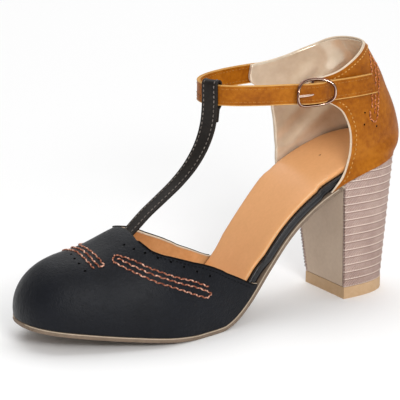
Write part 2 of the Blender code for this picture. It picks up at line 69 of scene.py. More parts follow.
# Length and floor contact
X_TOE = 90.0
X_HEEL = -137.0
FLAT_FRONT = 6.0
FLAT_BACK = -8.0
TOE_SPRING = 11.4
SPRING_POWER = 1.12
SEAT_HEIGHT = 78.5

# Layers under the foot
GAP = 0.3
OUTSOLE_T = 2.6
SOCK_INSET = 1.7
# How far the board is tucked past the walls, how far behind the vamp and before the
# quarter's front it turns bare, and over what length
BOARD_TUCK = 0.4
BARE_BEHIND = 10.0
BARE_BEFORE = 1.0
TUCK_RUN = 4.0

# Outline: share of the length from the heel, lateral and medial half width
OUTLINE = (
    (0.00, 26.4, 25.6),
    (0.14, 26.4, 25.8),
    (0.28, 25.0, 23.5),
    (0.40, 25.0, 20.8),
    (0.50, 28.8, 22.4),
    (0.60, 33.2, 29.8),
    (0.70, 36.5, 36.0),
    (0.80, 32.9, 37.8),
    (0.90, 30.4, 37.4),
    (1.00, 32.6, 35.0),
)
HEEL_ROUND = 29.0
HEEL_POWER = 2.3
TOE_ROUND = 61.0
TOE_POWER = 2.33
TOE_SHIFT = 5.2

# Arch: share of the way back, share of the seat height
ARCH = (
    (0.00, 0.000),
    (0.05, 0.007),
    (0.10, 0.040),
    (0.19, 0.155),
    (0.29, 0.342),
    (0.41, 0.570),
    (0.53, 0.727),
    (0.65, 0.832),
    (0.77, 0.904),
    (0.89, 0.957),
    (1.00, 1.000),
)

# Vamp
VAMP_WALL = 1.4
X_THROAT = 30.0
X_VAMP_REAR = -38.0
X_FAN = 40.0
X_CREST_END = 65.0
SIDE_POWER = 1.98
VAMP_BULGE = 1.75
# Crest of the vamp: distance from the toe tip, height over the floor
CREST = (
    (0.0, 41.0),
    (14.0, 43.5),
    (26.0, 45.6),
    (40.0, 47.9),
    (61.0, 55.9),
    (90.0, 62.5),
    (124.0, 78.0),
    (130.0, 82.0),
)
# Topline of the vamp: share from the throat to the rear, lateral and medial share up the rib
VAMP_TOP = (
    (0.00, 0.78, 0.78),
    (0.05, 0.645, 0.72),
    (0.10, 0.59, 0.675),
    (0.20, 0.53, 0.61),
    (0.30, 0.48, 0.54),
    (0.45, 0.41, 0.443),
    (0.60, 0.33, 0.353),
    (0.80, 0.204, 0.233),
    (1.00, 0.02, 0.06),
)

# Quarter
QUARTER_WALL = 1.4
X_WIDEST = -72.0
ANKLE_FRONT = 53.5
# First guess of x on its face, and how often it is corrected
X_GUESS = -110.0
GUESS_TURNS = 12
# Back curve: height over the floor, x of the back, half width, power of the plan curve
BACK = (
    (81.0, -137.0, 26.0, 3.1),
    (85.0, -139.2, 26.8, 3.0),
    (91.0, -140.6, 27.4, 2.9),
    (101.5, -139.0, 27.8, 2.7),
    (110.0, -136.2, 27.8, 2.5),
    (117.0, -132.9, 27.6, 2.4),
    (127.5, -128.0, 27.2, 2.3),
    (134.0, -123.6, 26.8, 2.3),
    (145.0, -116.0, 26.0, 2.3),
)
BLEND_HEIGHT = 14.0
# Topline of the quarter: x, lateral and medial height
QUARTER_TOP = (
    (-118.0, 144.0, 144.0),
    (-111.0, 142.6, 142.2),
    (-104.0, 139.4, 138.8),
    (-96.0, 135.8, 135.8),
    (-86.0, 131.8, 132.6),
    (-76.0, 129.9, 130.6),
    (-62.0, 129.2, 129.4),
)
# Front edge of the quarter: share up the side, lateral and medial x
QUARTER_FRONT = (
    (0.00, -84.0, -80.4),
    (0.05, -90.0, -80.4),
    (0.12, -93.2, -80.4),
    (0.30, -95.4, -80.6),
    (0.55, -92.2, -79.4),
    (0.70, -86.4, -76.6),
    (0.80, -78.2, -71.3),
    (0.87, -70.0, -64.5),
    (1.00, -68.0, -64.0),
)

# T-strap: path of its middle from under the throat: x, y, height, turn to the outer side
STRAP_T = 1.5
T_STRAP_WIDE = 9.7
T_STRAP_PATH = (
    (38.5, 0.0, 48.4, 0.0),
    (34.0, 0.0, 50.2, 0.0),
    (31.0, 0.0, 51.3, 0.0),
    (28.3, 0.0, 53.0, 0.0),
    (25.0, 0.0, 55.8, 2.0),
    (18.0, 0.0, 61.8, 4.0),
    (8.3, 0.2, 69.0, 7.0),
    (-1.0, 1.0, 76.6, 11.0),
    (-9.0, 2.6, 86.0, 16.0),
    (-14.4, 4.4, 96.6, 20.0),
    (-16.8, 6.0, 107.0, 24.0),
)
T_LOOP_ANGLE = 12.6
T_LOOP_END = 108.5
T_CURL_FROM = 92.0

# Ankle strap on the outer side: x, offset of its middle from the wall
ANKLE_T = 1.6
ANKLE_WIDE = 10.2
ANKLE_RUN = (
    (-110.0, 2.4),
    (-84.0, 2.4),
    (-80.5, 2.45),
    (-78.0, 2.6),
    (-75.0, 3.6),
    (-71.0, 5.2),
    (-67.0, 5.6),
    (-63.0, 5.2),
    (-59.0, 3.4),
    (-56.0, 2.4),
    (-52.0, 1.7),
    (-45.0, 1.1),
    (-16.0, 1.1),
)
X_ANKLE_INNER = -78.0
ANKLE_HEIGHTS = (124.4, 123.0, 123.0)

# Buckle, in the outer side's wall at the bar
BAR_X = -67.0
BAR_OFFSET = 2.5
BAR_RADIUS = 0.7
FRAME_HALF_LONG = 11.5
FRAME_HALF_HIGH = 7.0
FRAME_POWER = 2.7
FRAME_RISE = 4.4
WIRE_RADIUS = 0.8
PRONG_RADIUS = 0.6
PRONG_ABOVE = 7.6
PRONG_TIP = 8.4
BUCKLE_STRAP_T = 1.0
X_BUCKLE_STRAP = -106.0
BEND_X = -71.5
SLOT_HALF = 1.8
# Fold round the bar: along the strap and outward, in turning radii
FOLD = (
    (0.0, -1.0),
    (-0.7, -0.7),
    (-1.0, 0.0),
    (-0.7, 0.7),
    (0.0, 1.0),
    (0.8, 0.75),
    (1.8, 0.1),
    (2.8, -0.27),
    (4.5, -0.27),
)

# Heel
HEEL_BASE_Z = 7.0
BREAST_TOP = -92.4
BREAST_BASE = -98.5
HEEL_BACK = -133.5
HEEL_HALF = 18.8
HEEL_BASE_POWER = 2.5
WRAP_T = 1.2
RIB_DEPTH = 0.35


# Form functions

# Points of the fine curve that a path is spaced on, and half the turn that finds a direction
PATH_STEPS = 400
ANGLE_STEP = 0.01


def unit(vectors):
    """The same directions with a length of one."""
    return vectors / np.linalg.norm(vectors, axis=-1, keepdims=True)


def walked(points):
    """Distance along a path at each of its points."""
    return np.concatenate([[0], np.cumsum(np.linalg.norm(np.diff(points, axis=0), axis=1))])


def shares(rows, columns):
    """Even shares along and up over a sheet."""
    return np.meshgrid(np.linspace(0, 1, columns), np.linspace(0, 1, rows))


def smooth(table, column, share):
    """Smooth curve through one column of a short table."""
    table = np.asarray(table, float)
    xs = table[:, 0]
    ys = table[:, column]
    share = np.clip(np.asarray(share, float), xs[0], xs[-1])
    slope = np.gradient(ys, xs)
    i = np.clip(np.searchsorted(xs, share) - 1, 0, len(xs) - 2)
    step = xs[i + 1] - xs[i]
    t = (share - xs[i]) / step
    rise = (2 * t**3 - 3 * t**2 + 1) * ys[i] + (3 * t**2 - 2 * t**3) * ys[i + 1]
    lean = (t**3 - 2 * t**2 + t) * slope[i] + (t**3 - t**2) * slope[i + 1]
    return rise + lean * step


def rounding(distance, depth, power):
    """Rises from 0 at an end to 1 at the given depth, like a superellipse."""
    left = 1 - np.clip(np.asarray(distance, float) / depth, 0, 1)
    return (1 - left**power) ** (1 / power)


def half_width(side, x):
    share = (x - X_HEEL) / (X_TOE - X_HEEL)
    wide = smooth(OUTLINE, COLUMN[side], share)
    return wide * rounding(x - X_HEEL, HEEL_ROUND, HEEL_POWER) * rounding(X_TOE - x, TOE_ROUND, TOE_POWER)


def centre(x):
    """The middle of the forefoot swings to the inner side toward the toe."""
    return -TOE_SHIFT * np.clip(x / X_TOE, 0, 1) ** 2


def profile(x):
    """Height of the outsole's underside."""
    x = np.asarray(x, float)
    toe = np.clip((x - FLAT_FRONT) / (X_TOE - FLAT_FRONT), 0, 1)
    back = np.clip((FLAT_BACK - x) / (FLAT_BACK - X_HEEL), 0, 1)
    return TOE_SPRING * toe**SPRING_POWER + SEAT_HEIGHT * smooth(ARCH, 1, back)


def slope(x):
    """Slope of the underside along the foot."""
    return profile(x + 0.5) - profile(x - 0.5)


def sole_point(x, y, height):
    """Point at a height over the underside, measured square to the profile."""
    long = np.hypot(slope(x), 1)
    return np.stack(np.broadcast_arrays(x - height * slope(x) / long, y, profile(x) + height / long), -1)


FEATHER = OUTSOLE_T + GAP


def feather_z(x):
    """Height over the floor of the layer line that the upper stands on."""
    return profile(x) + FEATHER * np.hypot(slope(x), 1)


def feather(side, x):
    """Point of the feather line, where the upper meets the sole."""
    return sole_point(x, centre(x) + side * half_width(side, x), FEATHER)


def outline_point(side, x, inset):
    """Plan point of the outline, moved inward square to its edge."""
    x = np.asarray(x, float)
    share = np.arccos(np.clip(1 - 2 * (x - X_HEEL) / (X_TOE - X_HEEL), -1, 1)) / np.pi
    step = 0.002

    def plain(at):
        px = X_HEEL + (X_TOE - X_HEEL) * (1 - np.cos(np.pi * at)) / 2
        return np.stack([px, centre(px) + side * half_width(side, px)], -1)

    run = unit(plain(np.minimum(share + step, 1)) - plain(np.maximum(share - step, 0)))
    ends = (share < step) | (share > 1 - step)
    inward_x = np.where(ends, np.where(share > 0.5, -1.0, 1.0), side * run[..., 1])
    inward_y = np.where(ends, 0.0, -side * run[..., 0])
    inset = inset(side, x) if callable(inset) else inset
    return x + inward_x * inset, centre(x) + side * half_width(side, x) + inward_y * inset


def vamp_point(side, x, up):
    """Outer face of the vamp: ribs rise from the feather at x to the crest, fanned round the toe."""
    x = np.asarray(x, float)
    foot = feather(side, x)
    share = np.clip((x - X_FAN) / (X_TOE - X_FAN), 0, 1)
    crest_x = np.where(x > X_FAN, X_FAN + (X_CREST_END - X_FAN) * share * (2 - share), x)
    angle = up * math.pi / 2
    out = np.clip(np.cos(angle), 0, 1) ** (2 / SIDE_POWER)
    rise = np.sin(angle) ** (2 / SIDE_POWER)
    bulge = VAMP_BULGE * np.sin(2 * angle)
    edge_x, edge_y = outline_point(side, x, -1.0)
    out_x = edge_x - x
    out_y = edge_y - centre(x) - side * half_width(side, x)
    px = crest_x + (foot[..., 0] - crest_x) * out
    py = centre(crest_x) + (foot[..., 1] - centre(crest_x)) * out
    pz = foot[..., 2] + (smooth(CREST, 1, X_TOE - px) - foot[..., 2]) * rise
    return np.stack(np.broadcast_arrays(px + out_x * bulge, py + out_y * bulge, pz), -1)


def back_x(z):
    return smooth(BACK, 1, z)


def wall_y(side, x, z):
    """Half width of the quarter's outer face at a place and height."""
    xb = back_x(z)
    wide = smooth(BACK, 2, z)
    power = smooth(BACK, 3, z)
    along = np.clip((X_WIDEST - x) / (X_WIDEST - xb), 0, 1)
    front = np.clip((x - X_WIDEST) / ANKLE_FRONT, 0, 1)
    egg = wide * (1 - along**power) ** (1 / power) * np.sqrt(1 - front**2)
    stretched = X_WIDEST + (x - X_WIDEST) * (X_WIDEST - X_HEEL) / (X_WIDEST - xb)
    sole = half_width(side, np.where(x < X_WIDEST, stretched, x)) + wide - BACK[0][2]
    up = np.clip((z - feather_z(x)) / BLEND_HEIGHT, 0, 1)
    blend = up * up * (3 - 2 * up)
    return side * (sole + (egg - sole) * blend)


def quarter_point(side, along, up):
    """Outer face of the quarter: along runs 0 at the front edge to 1 at the back seam."""
    front = smooth(QUARTER_FRONT, COLUMN[side], up)
    share = np.sin(along * math.pi / 2)
    x = X_GUESS + 0 * share
    for _ in range(GUESS_TURNS):
        low = feather_z(x)
        high = smooth(QUARTER_TOP, COLUMN[side], x)
        z = low + (high - low) * up
        x = front + (back_x(z) - front) * share
    # the two sides meet in the middle of the back
    y = wall_y(side, x, z) * (share < 1)
    return np.stack(np.broadcast_arrays(x, y, z), -1)


def stations(x_back, x_front, count):
    """Places along the foot, crowded toward its round ends."""
    ends = [math.acos(1 - 2 * (x - X_HEEL) / (X_TOE - X_HEEL)) for x in (x_back, x_front)]
    return X_HEEL + (X_TOE - X_HEEL) * (1 - np.cos(np.linspace(*ends, count))) / 2


def step_up(x, start, length):
    share = np.clip((x - start) / length, 0, 1)
    return share * share * (3 - 2 * share)


def board_inset(side, x):
    """The board is bare at the open waist and tucked inside the walls elsewhere."""
    tucked = VAMP_WALL + GAP + BOARD_TUCK
    front = QUARTER_FRONT[0][COLUMN[side]]
    under_vamp = step_up(x, X_VAMP_REAR - BARE_BEHIND, TUCK_RUN)
    inside = under_vamp + 1 - step_up(x, front + BARE_BEFORE, TUCK_RUN)
    return GAP + (tucked - GAP) * inside


def sock_inset(side, x):
    return board_inset(side, x) + SOCK_INSET


def vamp_grids(rows, columns, crown):
    """Outer face of the vamp: two sides, and the crown that joins them ahead of the throat."""
    grids = []
    for side, column in COLUMN.items():
        corner = VAMP_TOP[0][column]
        ahead = X_THROAT + (X_TOE - X_THROAT) * np.sin(np.linspace(1, 0, rows) * math.pi / 2)
        behind = np.linspace(0, 1, rows) ** 1.4
        x = np.concatenate([ahead, X_THROAT + (X_VAMP_REAR - X_THROAT) * behind[1:]])
        cut = smooth(VAMP_TOP, column, (X_THROAT - x) / (X_THROAT - X_VAMP_REAR))
        up = cut[:, None] * np.linspace(0, 1, columns)[None, :]
        grids.append((vamp_point(side, x[:, None] + 0 * up, up), side == LATERAL))
        up = np.linspace(corner, 1, crown)[None, :] + 0 * ahead[:, None]
        grids.append((vamp_point(side, ahead[:, None] + 0 * up, up), side == LATERAL))
    return grids


def quarter_grids(rows, columns):
    along, up = shares(rows, columns)
    return [(quarter_point(side, along, up), side == MEDIAL) for side in (LATERAL, MEDIAL)]


def heel_point(side, along, down, inset):
    """Outer face of the heel: along runs from the breast round to the back, down from seat to base."""
    share = np.sin(along * math.pi / 2)
    top_x = BREAST_TOP + (X_HEEL + inset - BREAST_TOP) * share
    wide = smooth(OUTLINE, COLUMN[side], (top_x - X_HEEL) / (X_TOE - X_HEEL)) - inset
    top_y = wide * rounding(top_x - X_HEEL - inset, HEEL_ROUND, HEEL_POWER)
    top_z = profile(top_x) + OUTSOLE_T
    base_x = BREAST_BASE + (HEEL_BACK + inset - BREAST_BASE) * share
    base_y = (HEEL_HALF - inset) * (1 - share**HEEL_BASE_POWER) ** (1 / HEEL_BASE_POWER)
    x = top_x + (base_x - top_x) * down
    y = top_y + (base_y - top_y) * down
    z = top_z + (HEEL_BASE_Z - top_z) * down
    return np.stack(np.broadcast_arrays(x, side * y, z), -1)


def smooth_path(points, count):
    """Evenly spaced points on a smooth curve through a short list."""
    points = np.asarray(points, float)
    reach = walked(points)
    table = np.column_stack([reach, points])
    fine = np.linspace(0, reach[-1], PATH_STEPS)
    curve = np.stack([smooth(table, k, fine) for k in range(1, table.shape[1])], 1)
    length = walked(curve)
    even = np.linspace(0, length[-1], count)
    return np.stack([np.interp(even, length, curve[:, k]) for k in range(curve.shape[1])], 1)


def egg_point(angle, z):
    """Plan of the ankle line: 0 at the front, +90 degrees outside, 180 at the back."""
    wide = smooth(BACK, 2, z)
    power = smooth(BACK, 3, z)
    c = np.cos(angle)
    s = np.sin(angle)
    back = X_WIDEST - back_x(z)
    front = c >= 0
    x = np.where(front, X_WIDEST + ANKLE_FRONT * c, X_WIDEST - back * np.abs(c) ** (2 / power))
    y = np.where(front, wide * s, wide * np.sign(s) * np.abs(s) ** (2 / power))
    return np.stack([x, y], -1)


def egg_run(angle, z):
    """Direction in which the ankle line runs on."""
    return unit(egg_point(angle + ANGLE_STEP, z) - egg_point(angle - ANGLE_STEP, z))


def t_strap_grid(rows, columns):
    """Up from under the throat, over the ankle strap and down behind it."""
    angle = math.radians(T_LOOP_ANGLE)
    height = ANKLE_HEIGHTS[1]
    here = egg_point(angle, height)
    run = egg_run(angle, height)
    turned = math.degrees(math.atan2(-run[0], run[1]))
    middle = ANKLE_RUN[-1][1]
    turn = ANKLE_T / 2 + GAP + STRAP_T / 2
    top = height + ANKLE_WIDE / 2 + GAP
    radius = float(smooth(BACK, 2, height)) ** 2 / ANKLE_FRONT

    def beside(offset, z):
        """Point of the loop with the turn and the curl that follow the ankle strap."""
        lean = math.radians(turned)
        curl = 1 / (radius + offset)
        return (here[0] + offset * math.cos(lean), here[1] + offset * math.sin(lean), z, turned, curl)

    rise = [beside(middle + turn, height - ANKLE_WIDE / 2 - 1.0), beside(middle + turn, top)]
    full = rise[0][4]
    run_up = rise[0][2] - T_CURL_FROM
    front = [(*point, full * float(step_up(point[2], T_CURL_FROM, run_up))) for point in T_STRAP_PATH] + rise
    path = list(smooth_path(front, rows))
    for fold in range(30, 181, 30):
        lean = math.radians(fold)
        path.append(beside(middle + turn * math.cos(lean), top + turn * math.sin(lean)))
    path.append(beside(middle - turn, height - ANKLE_WIDE / 2 - 0.5))
    # the sewn end lies behind the strap's own rise
    inside = STRAP_T + GAP + 0.1
    for drop in (2.5, height - ANKLE_WIDE / 2 - T_LOOP_END):
        z = height - ANKLE_WIDE / 2 - drop
        outer = path[int(np.argmin([abs(point[2] - z) for point in path[:rows]]))]
        lean = math.radians(outer[3])
        path.append((outer[0] - inside * math.cos(lean), outer[1] - inside * math.sin(lean), *outer[2:]))
    path = np.asarray(path)
    across = np.linspace(-0.5, 0.5, columns)[None, :] * T_STRAP_WIDE
    lean = np.radians(path[:, 3])[:, None]
    sag = across**2 * path[:, 4][:, None] / 2
    x = path[:, 0][:, None] - across * np.sin(lean) - sag * np.cos(lean)
    y = path[:, 1][:, None] + across * np.cos(lean) - sag * np.sin(lean)
    z = path[:, 2][:, None] + 0 * across
    return np.stack([x, y, z], -1)


def wall_ribbon(angles, heights, offsets, across):
    """Ribbon that rides the ankle line at its own offset."""
    rows = []
    for angle, height, offset in zip(angles, heights, offsets):
        z = height + across
        here = egg_point(angle, z)
        run = egg_run(angle, z)
        rows.append(np.stack([here[:, 0] + run[:, 1] * offset, here[:, 1] - run[:, 0] * offset, z], -1))
    return np.asarray(rows)


def angle_at(side, x, z):
    """Angle on the ankle line for a place on one side."""
    if x >= X_WIDEST:
        return side * math.acos((x - X_WIDEST) / ANKLE_FRONT)
    share = (X_WIDEST - x) / (X_WIDEST - float(back_x(z)))
    return side * (math.pi - math.acos(share ** (float(smooth(BACK, 3, z)) / 2)))


def ankle_grid(rows):
    """Long strap from the inner wing round the front and through the buckle."""
    start = angle_at(MEDIAL, X_ANKLE_INNER, ANKLE_HEIGHTS[0])
    end = angle_at(LATERAL, ANKLE_RUN[0][0], ANKLE_HEIGHTS[2])
    angles = np.linspace(start, end, rows)
    heights = np.interp(angles, [start, 0, math.pi / 3, end], [*ANKLE_HEIGHTS, ANKLE_HEIGHTS[2]])
    x = egg_point(angles, heights)[:, 0]
    offsets = np.where(angles > 0, smooth(ANKLE_RUN, 1, x), ANKLE_RUN[-1][1])
    return wall_ribbon(angles, heights, offsets, np.linspace(-0.5, 0.5, 5) * ANKLE_WIDE)


def buckle_point(along, high, offset):
    """Point in the buckle's own plane: along the strap, up, and out from the wall."""
    height = ANKLE_HEIGHTS[2]
    angle = angle_at(LATERAL, BAR_X, height)
    here = egg_point(angle, height)
    run = egg_run(angle, height)
    x = here[0] + run[0] * along + run[1] * offset
    y = here[1] + run[1] * along - run[0] * offset
    return (float(x), float(y), height + high)


def frame_path(count):
    """Rounded oval whose two ends rise clear of the strap."""
    path = []
    for angle in np.linspace(0, 2 * math.pi, count, endpoint=False):
        c, s = math.cos(angle), math.sin(angle)
        along = FRAME_HALF_LONG * math.copysign(abs(c) ** (2 / FRAME_POWER), c)
        high = FRAME_HALF_HIGH * math.copysign(abs(s) ** (2 / FRAME_POWER), s)
        path.append(buckle_point(along, high, BAR_OFFSET + FRAME_RISE * (along / FRAME_HALF_LONG) ** 2))
    return path


def prong_path():
    """Open ring round the bar, then the arm out through the strap to the frame's front end."""
    ring = BAR_RADIUS + GAP + PRONG_RADIUS
    path = []
    for angle in range(-60, 181, 30):
        lean = math.radians(angle)
        path.append(buckle_point(ring * math.cos(lean), 0, BAR_OFFSET - ring * math.sin(lean)))
    arm = (
        (-ring, BAR_OFFSET + 2.0),
        (-ring - 0.6, PRONG_ABOVE - 0.8),
        (-ring - 2.0, PRONG_ABOVE),
        (-FRAME_HALF_LONG + 2.0, PRONG_TIP + 0.1),
        (-FRAME_HALF_LONG - 0.6, PRONG_TIP),
    )
    return path + [buckle_point(along, 0, out) for along, out in arm]


def buckle_strap_grids(rows):
    """Short strap on the outer wall; its front end folds round the bar in two tabs."""
    height = ANKLE_HEIGHTS[2]
    near = BUCKLE_STRAP_T / 2 + GAP
    turn = BAR_RADIUS + GAP + BUCKLE_STRAP_T / 2
    grids = []
    start = angle_at(LATERAL, X_BUCKLE_STRAP, height)
    bend = angle_at(LATERAL, BEND_X, height)
    angles = np.linspace(start, bend, rows)
    full = np.array([-0.5, -SLOT_HALF / ANKLE_WIDE, SLOT_HALF / ANKLE_WIDE, 0.5]) * ANKLE_WIDE
    body = wall_ribbon(angles, np.full(rows, height), np.full(rows, near), full)
    grids.append((body, False))
    last = body[-1]
    for low, high in ((0, 1), (2, 3)):
        tab = [last[[low, high]]]
        for along, out in FOLD:
            tab.append([buckle_point(along * turn, full[k], BAR_OFFSET + out * turn) for k in (low, high)])
        grids.append((np.array([np.asarray(row) for row in tab]), False))
    return grids


# Finishes

# Where the first and the last tone lie on the clouds, and how much the specks count
TONE_SPAN = (0.36, 0.64)
SPECK_SHARE = 0.4
# Patches of roughness to a cloud, and the depth of coarse and fine grain in metres
PATCH_SCALE = 2.7
COARSE_SHARE = 0.6
COARSE_DEPTH = 0.0003
FINE_DEPTH = 0.0002


def set_values(holder, **values):
    """Plain values on a node's sockets; an underscore stands for a space."""
    for name, value in values.items():
        holder.inputs[name.replace("_", " ")].default_value = value


def add_node(tree, kind, links, **values):
    """A node with links into its named sockets and plain values on others."""
    made = tree.nodes.new(kind)
    set_values(made, **values)
    for name, source in links.items():
        tree.links.new(source, made.inputs[name])
    return made


def noise(tree, place, scale, detail=4.0, rough=0.55):
    values = {"Scale": scale, "Detail": detail, "Roughness": rough}
    return add_node(tree, "ShaderNodeTexNoise", {"Vector": place}, **values).outputs["Fac"]


def ramp(tree, value, stops):
    made = add_node(tree, "ShaderNodeValToRGB", {"Fac": value})
    elements = made.color_ramp.elements
    while len(elements) < len(stops):
        elements.new(0.5)
    for element, (at, colour) in zip(elements, stops):
        element.position = at
        element.color = (*colour, 1.0)
    return made.outputs["Color"]


def spread(tree, value, low, high, start=0.3, end=0.7):
    span = {"From_Min": start, "From_Max": end, "To_Min": low, "To_Max": high}
    return add_node(tree, "ShaderNodeMapRange", {"Value": value}, **span).outputs["Result"]


def bump(tree, value, strength, distance, under=None):
    links = {"Height": value}
    if under is not None:
        links["Normal"] = under
    return add_node(tree, "ShaderNodeBump", links, Strength=strength, Distance=distance).outputs["Normal"]


def finish(name, tones, rough, grain, depth=0.3, metallic=0.0, shine=0.25, **flat):
    """Clouded and specked colour, uneven roughness and a fine grain, each with its own scale."""
    made = bpy.data.materials.new(name)
    made.use_nodes = True
    tree = made.node_tree
    shader = tree.nodes["Principled BSDF"]
    place = tree.nodes.new("ShaderNodeTexCoord").outputs["Object"]
    cloud, speck, fine = grain
    clouds = noise(tree, place, cloud)
    specks = noise(tree, place, speck, 2.0, 0.6)
    both = add_node(tree, "ShaderNodeMix", {"A": clouds, "B": specks}, Factor=SPECK_SHARE)
    stops = list(zip(np.linspace(*TONE_SPAN, len(tones)), tones))
    tree.links.new(ramp(tree, both.outputs["Result"], stops), shader.inputs["Base Color"])
    patches = noise(tree, place, cloud * PATCH_SCALE, 6.0)
    tree.links.new(spread(tree, patches, *rough), shader.inputs["Roughness"])
    coarse = bump(tree, specks, depth * COARSE_SHARE, COARSE_DEPTH)
    grained = bump(tree, noise(tree, place, fine, 3.0, 0.6), depth, FINE_DEPTH, coarse)
    tree.links.new(grained, shader.inputs["Normal"])
    set_values(shader, Metallic=metallic, Specular_IOR_Level=shine, **flat)
    return made


# Clouds, specks and grains, each by its noise scale
PLAIN_GRAIN = (90, 500, 900)
RUBBER_GRAIN = (90, 500, 1500)
METAL_GRAIN = (90, 500, 2500)
THREAD_GRAIN = (300, 900, 4000)


def thread(name, *tones, rough=(0.5, 0.6), grain=THREAD_GRAIN, **more):
    return finish(f"{name}_thread", tones, rough, grain, **more)


NUBUCK = finish("black_nubuck", [(0.0028, 0.0034, 0.0054), (0.0066, 0.0076, 0.0110)], (0.34, 0.46),
                (40, 520, 1300), 1.5, shine=0.17, Sheen_Weight=0.01, Sheen_Roughness=0.4)
STRAP_BLACK = finish("black_strap", [(0.007, 0.005, 0.004), (0.018, 0.014, 0.011)], (0.42, 0.56),
                     (60, 500, 1500), 0.5, shine=0.22)
PEACH = finish("vamp_lining", [(0.62, 0.31, 0.115), (0.74, 0.41, 0.18)], (0.45, 0.6), (60, 500, 900))
EDGE_CREAM = finish("cream_edge", [(0.62, 0.50, 0.37), (0.74, 0.62, 0.48)], (0.45, 0.6), (80, 500, 900), 0.2)
OCHRE = finish("ochre_leather", [(0.225, 0.059, 0.0016), (0.31, 0.090, 0.0028), (0.40, 0.131, 0.0065)],
               (0.34, 0.48), (45, 380, 900), 0.5, shine=0.12)
STRAP_EDGE = finish("strap_edge", [(0.50, 0.24, 0.05), (0.62, 0.34, 0.10)], (0.5, 0.6), PLAIN_GRAIN, 0.2)
SATIN = finish("satin_lining", [(0.66, 0.53, 0.39), (0.82, 0.69, 0.54)], (0.18, 0.26), (40, 150, 1500), 0.04,
               metallic=0.35, shine=0.7, Sheen_Weight=0.1, Sheen_Roughness=0.4)
SOCK = finish("tan_sock", [(0.74, 0.355, 0.136), (0.81, 0.40, 0.164)], (0.30, 0.40),
              (30, 500, 1400), 0.1, shine=0.4)
# Darker tan of the small dot on the heel seat: painted shade of a punched dot
DOT_SHADE = finish("punched_dot_shade", [(0.34, 0.145, 0.05), (0.42, 0.19, 0.07)], (0.5, 0.6), PLAIN_GRAIN, 0.2)
# Lighter tan of the sock's edge bead: painted highlight on its rounded edge
SOCK_RIM_HIGHLIGHT = finish("sock_rim_highlight", [(0.70, 0.40, 0.19), (0.80, 0.50, 0.27)], (0.4, 0.5), (60, 500, 1400), 0.1)
RAND = finish("black_rand", [(0.006, 0.006, 0.007), (0.011, 0.011, 0.013)], (0.2, 0.3),
              (80, 500, 900), 0.2, shine=0.5)
SOLE = finish("outsole_rubber", [(0.16, 0.115, 0.08), (0.22, 0.16, 0.115)], (0.55, 0.7), RUBBER_GRAIN)
# Darker rubber of the tread lines: painted shade of tread grooves
TREAD_GROOVE_SHADE = finish("tread_groove_shade", [(0.11, 0.078, 0.052), (0.16, 0.115, 0.08)], (0.55, 0.7), RUBBER_GRAIN)
# Pale beige: on the sole's beads a painted highlight of the outsole's lit top edge; on the breast lip the
# flap's own pale tone
SOLE_PALE_AND_HIGHLIGHT = finish("sole_bead", [(0.42, 0.335, 0.245), (0.50, 0.41, 0.31)], (0.5, 0.65), RUBBER_GRAIN)
BREAST = finish("cream_heel", [(0.53, 0.40, 0.295), (0.60, 0.465, 0.35)], (0.42, 0.52), (40, 500, 1600), 0.15)
LIFT = finish("tan_rubber", [(0.50, 0.325, 0.175), (0.58, 0.39, 0.23)], (0.5, 0.62), (60, 500, 1500))
# Two copies of one rose metal: the dark one on the frame wire and bar is the shaded copy; the light one is a
# painted highlight on the frame's crest line and the prong
ROSE = finish("rose_metal", [(0.13, 0.055, 0.036), (0.22, 0.105, 0.072)], (0.12, 0.2),
              METAL_GRAIN, 0.05, 1.0, 0.5)
ROSE_HIGHLIGHT = finish("rose_painted_highlight", [(0.80, 0.58, 0.46), (0.90, 0.72, 0.60)], (0.08, 0.14),
                     METAL_GRAIN, 0.05, 1.0, 0.5)
# Near black on the walls and floors of the blind holes: painted shade in the recesses
HOLE_SHADE = finish("hole_painted_shade", [(0.003, 0.003, 0.003), (0.005, 0.005, 0.005)], (0.8, 0.9),
                   PLAIN_GRAIN, 0.1, shine=0.05)
# Copper thread: its lightest, peach tone, speckled at random, is a painted highlight
COPPER_THREAD_AND_HIGHLIGHT = thread("copper", (0.10, 0.022, 0.012), (0.32, 0.10, 0.05), (0.92, 0.58, 0.44),
                       rough=(0.45, 0.6), grain=(420, 1300, 4000))
RED_THREAD = thread("red", (0.36, 0.075, 0.014), (0.70, 0.28, 0.12), rough=(0.45, 0.6))
GREY_THREAD = thread("grey", (0.08, 0.065, 0.055), (0.22, 0.19, 0.165), rough=(0.5, 0.65))
OCHRE_THREAD = thread("ochre", (0.46, 0.20, 0.035), (0.66, 0.35, 0.10))
STRAP_THREAD = thread("strap", (0.34, 0.13, 0.015), (0.48, 0.22, 0.045))
BLACK_THREAD = thread("black", (0.002, 0.002, 0.002), (0.004, 0.004, 0.004), shine=0.08)
# Dark brown: thread of the breast seam and the ankle strap's inner seam, and the painted shadow line under
# the quarter band's stitches
BROWN_THREAD_AND_SHADOW_LINE = thread("brown", (0.050, 0.016, 0.005), (0.09, 0.035, 0.012))

# Ribbed heel cover: distance between ridges, and the pitch and lean of its emboss
RIB_PITCH = 4.5
EMBOSS_PITCH = 1.9
EMBOSS_LEAN = 0.8
# Painted highlight line on each ridge, painted shadow beside it and painted shade on the emboss; each fades
# in between two distances
RIDGE_HIGHLIGHT = (0.86, 0.71, 0.62)
RIDGE_SHADE = (0.24, 0.145, 0.115)
RIDGE_SHADE_AT = 0.87
RIDGE_FADE = (0.42, 0.47)
SHADE_FADE = (0.09, 0.03)
EMBOSS_FADE = (0.0, 0.9)


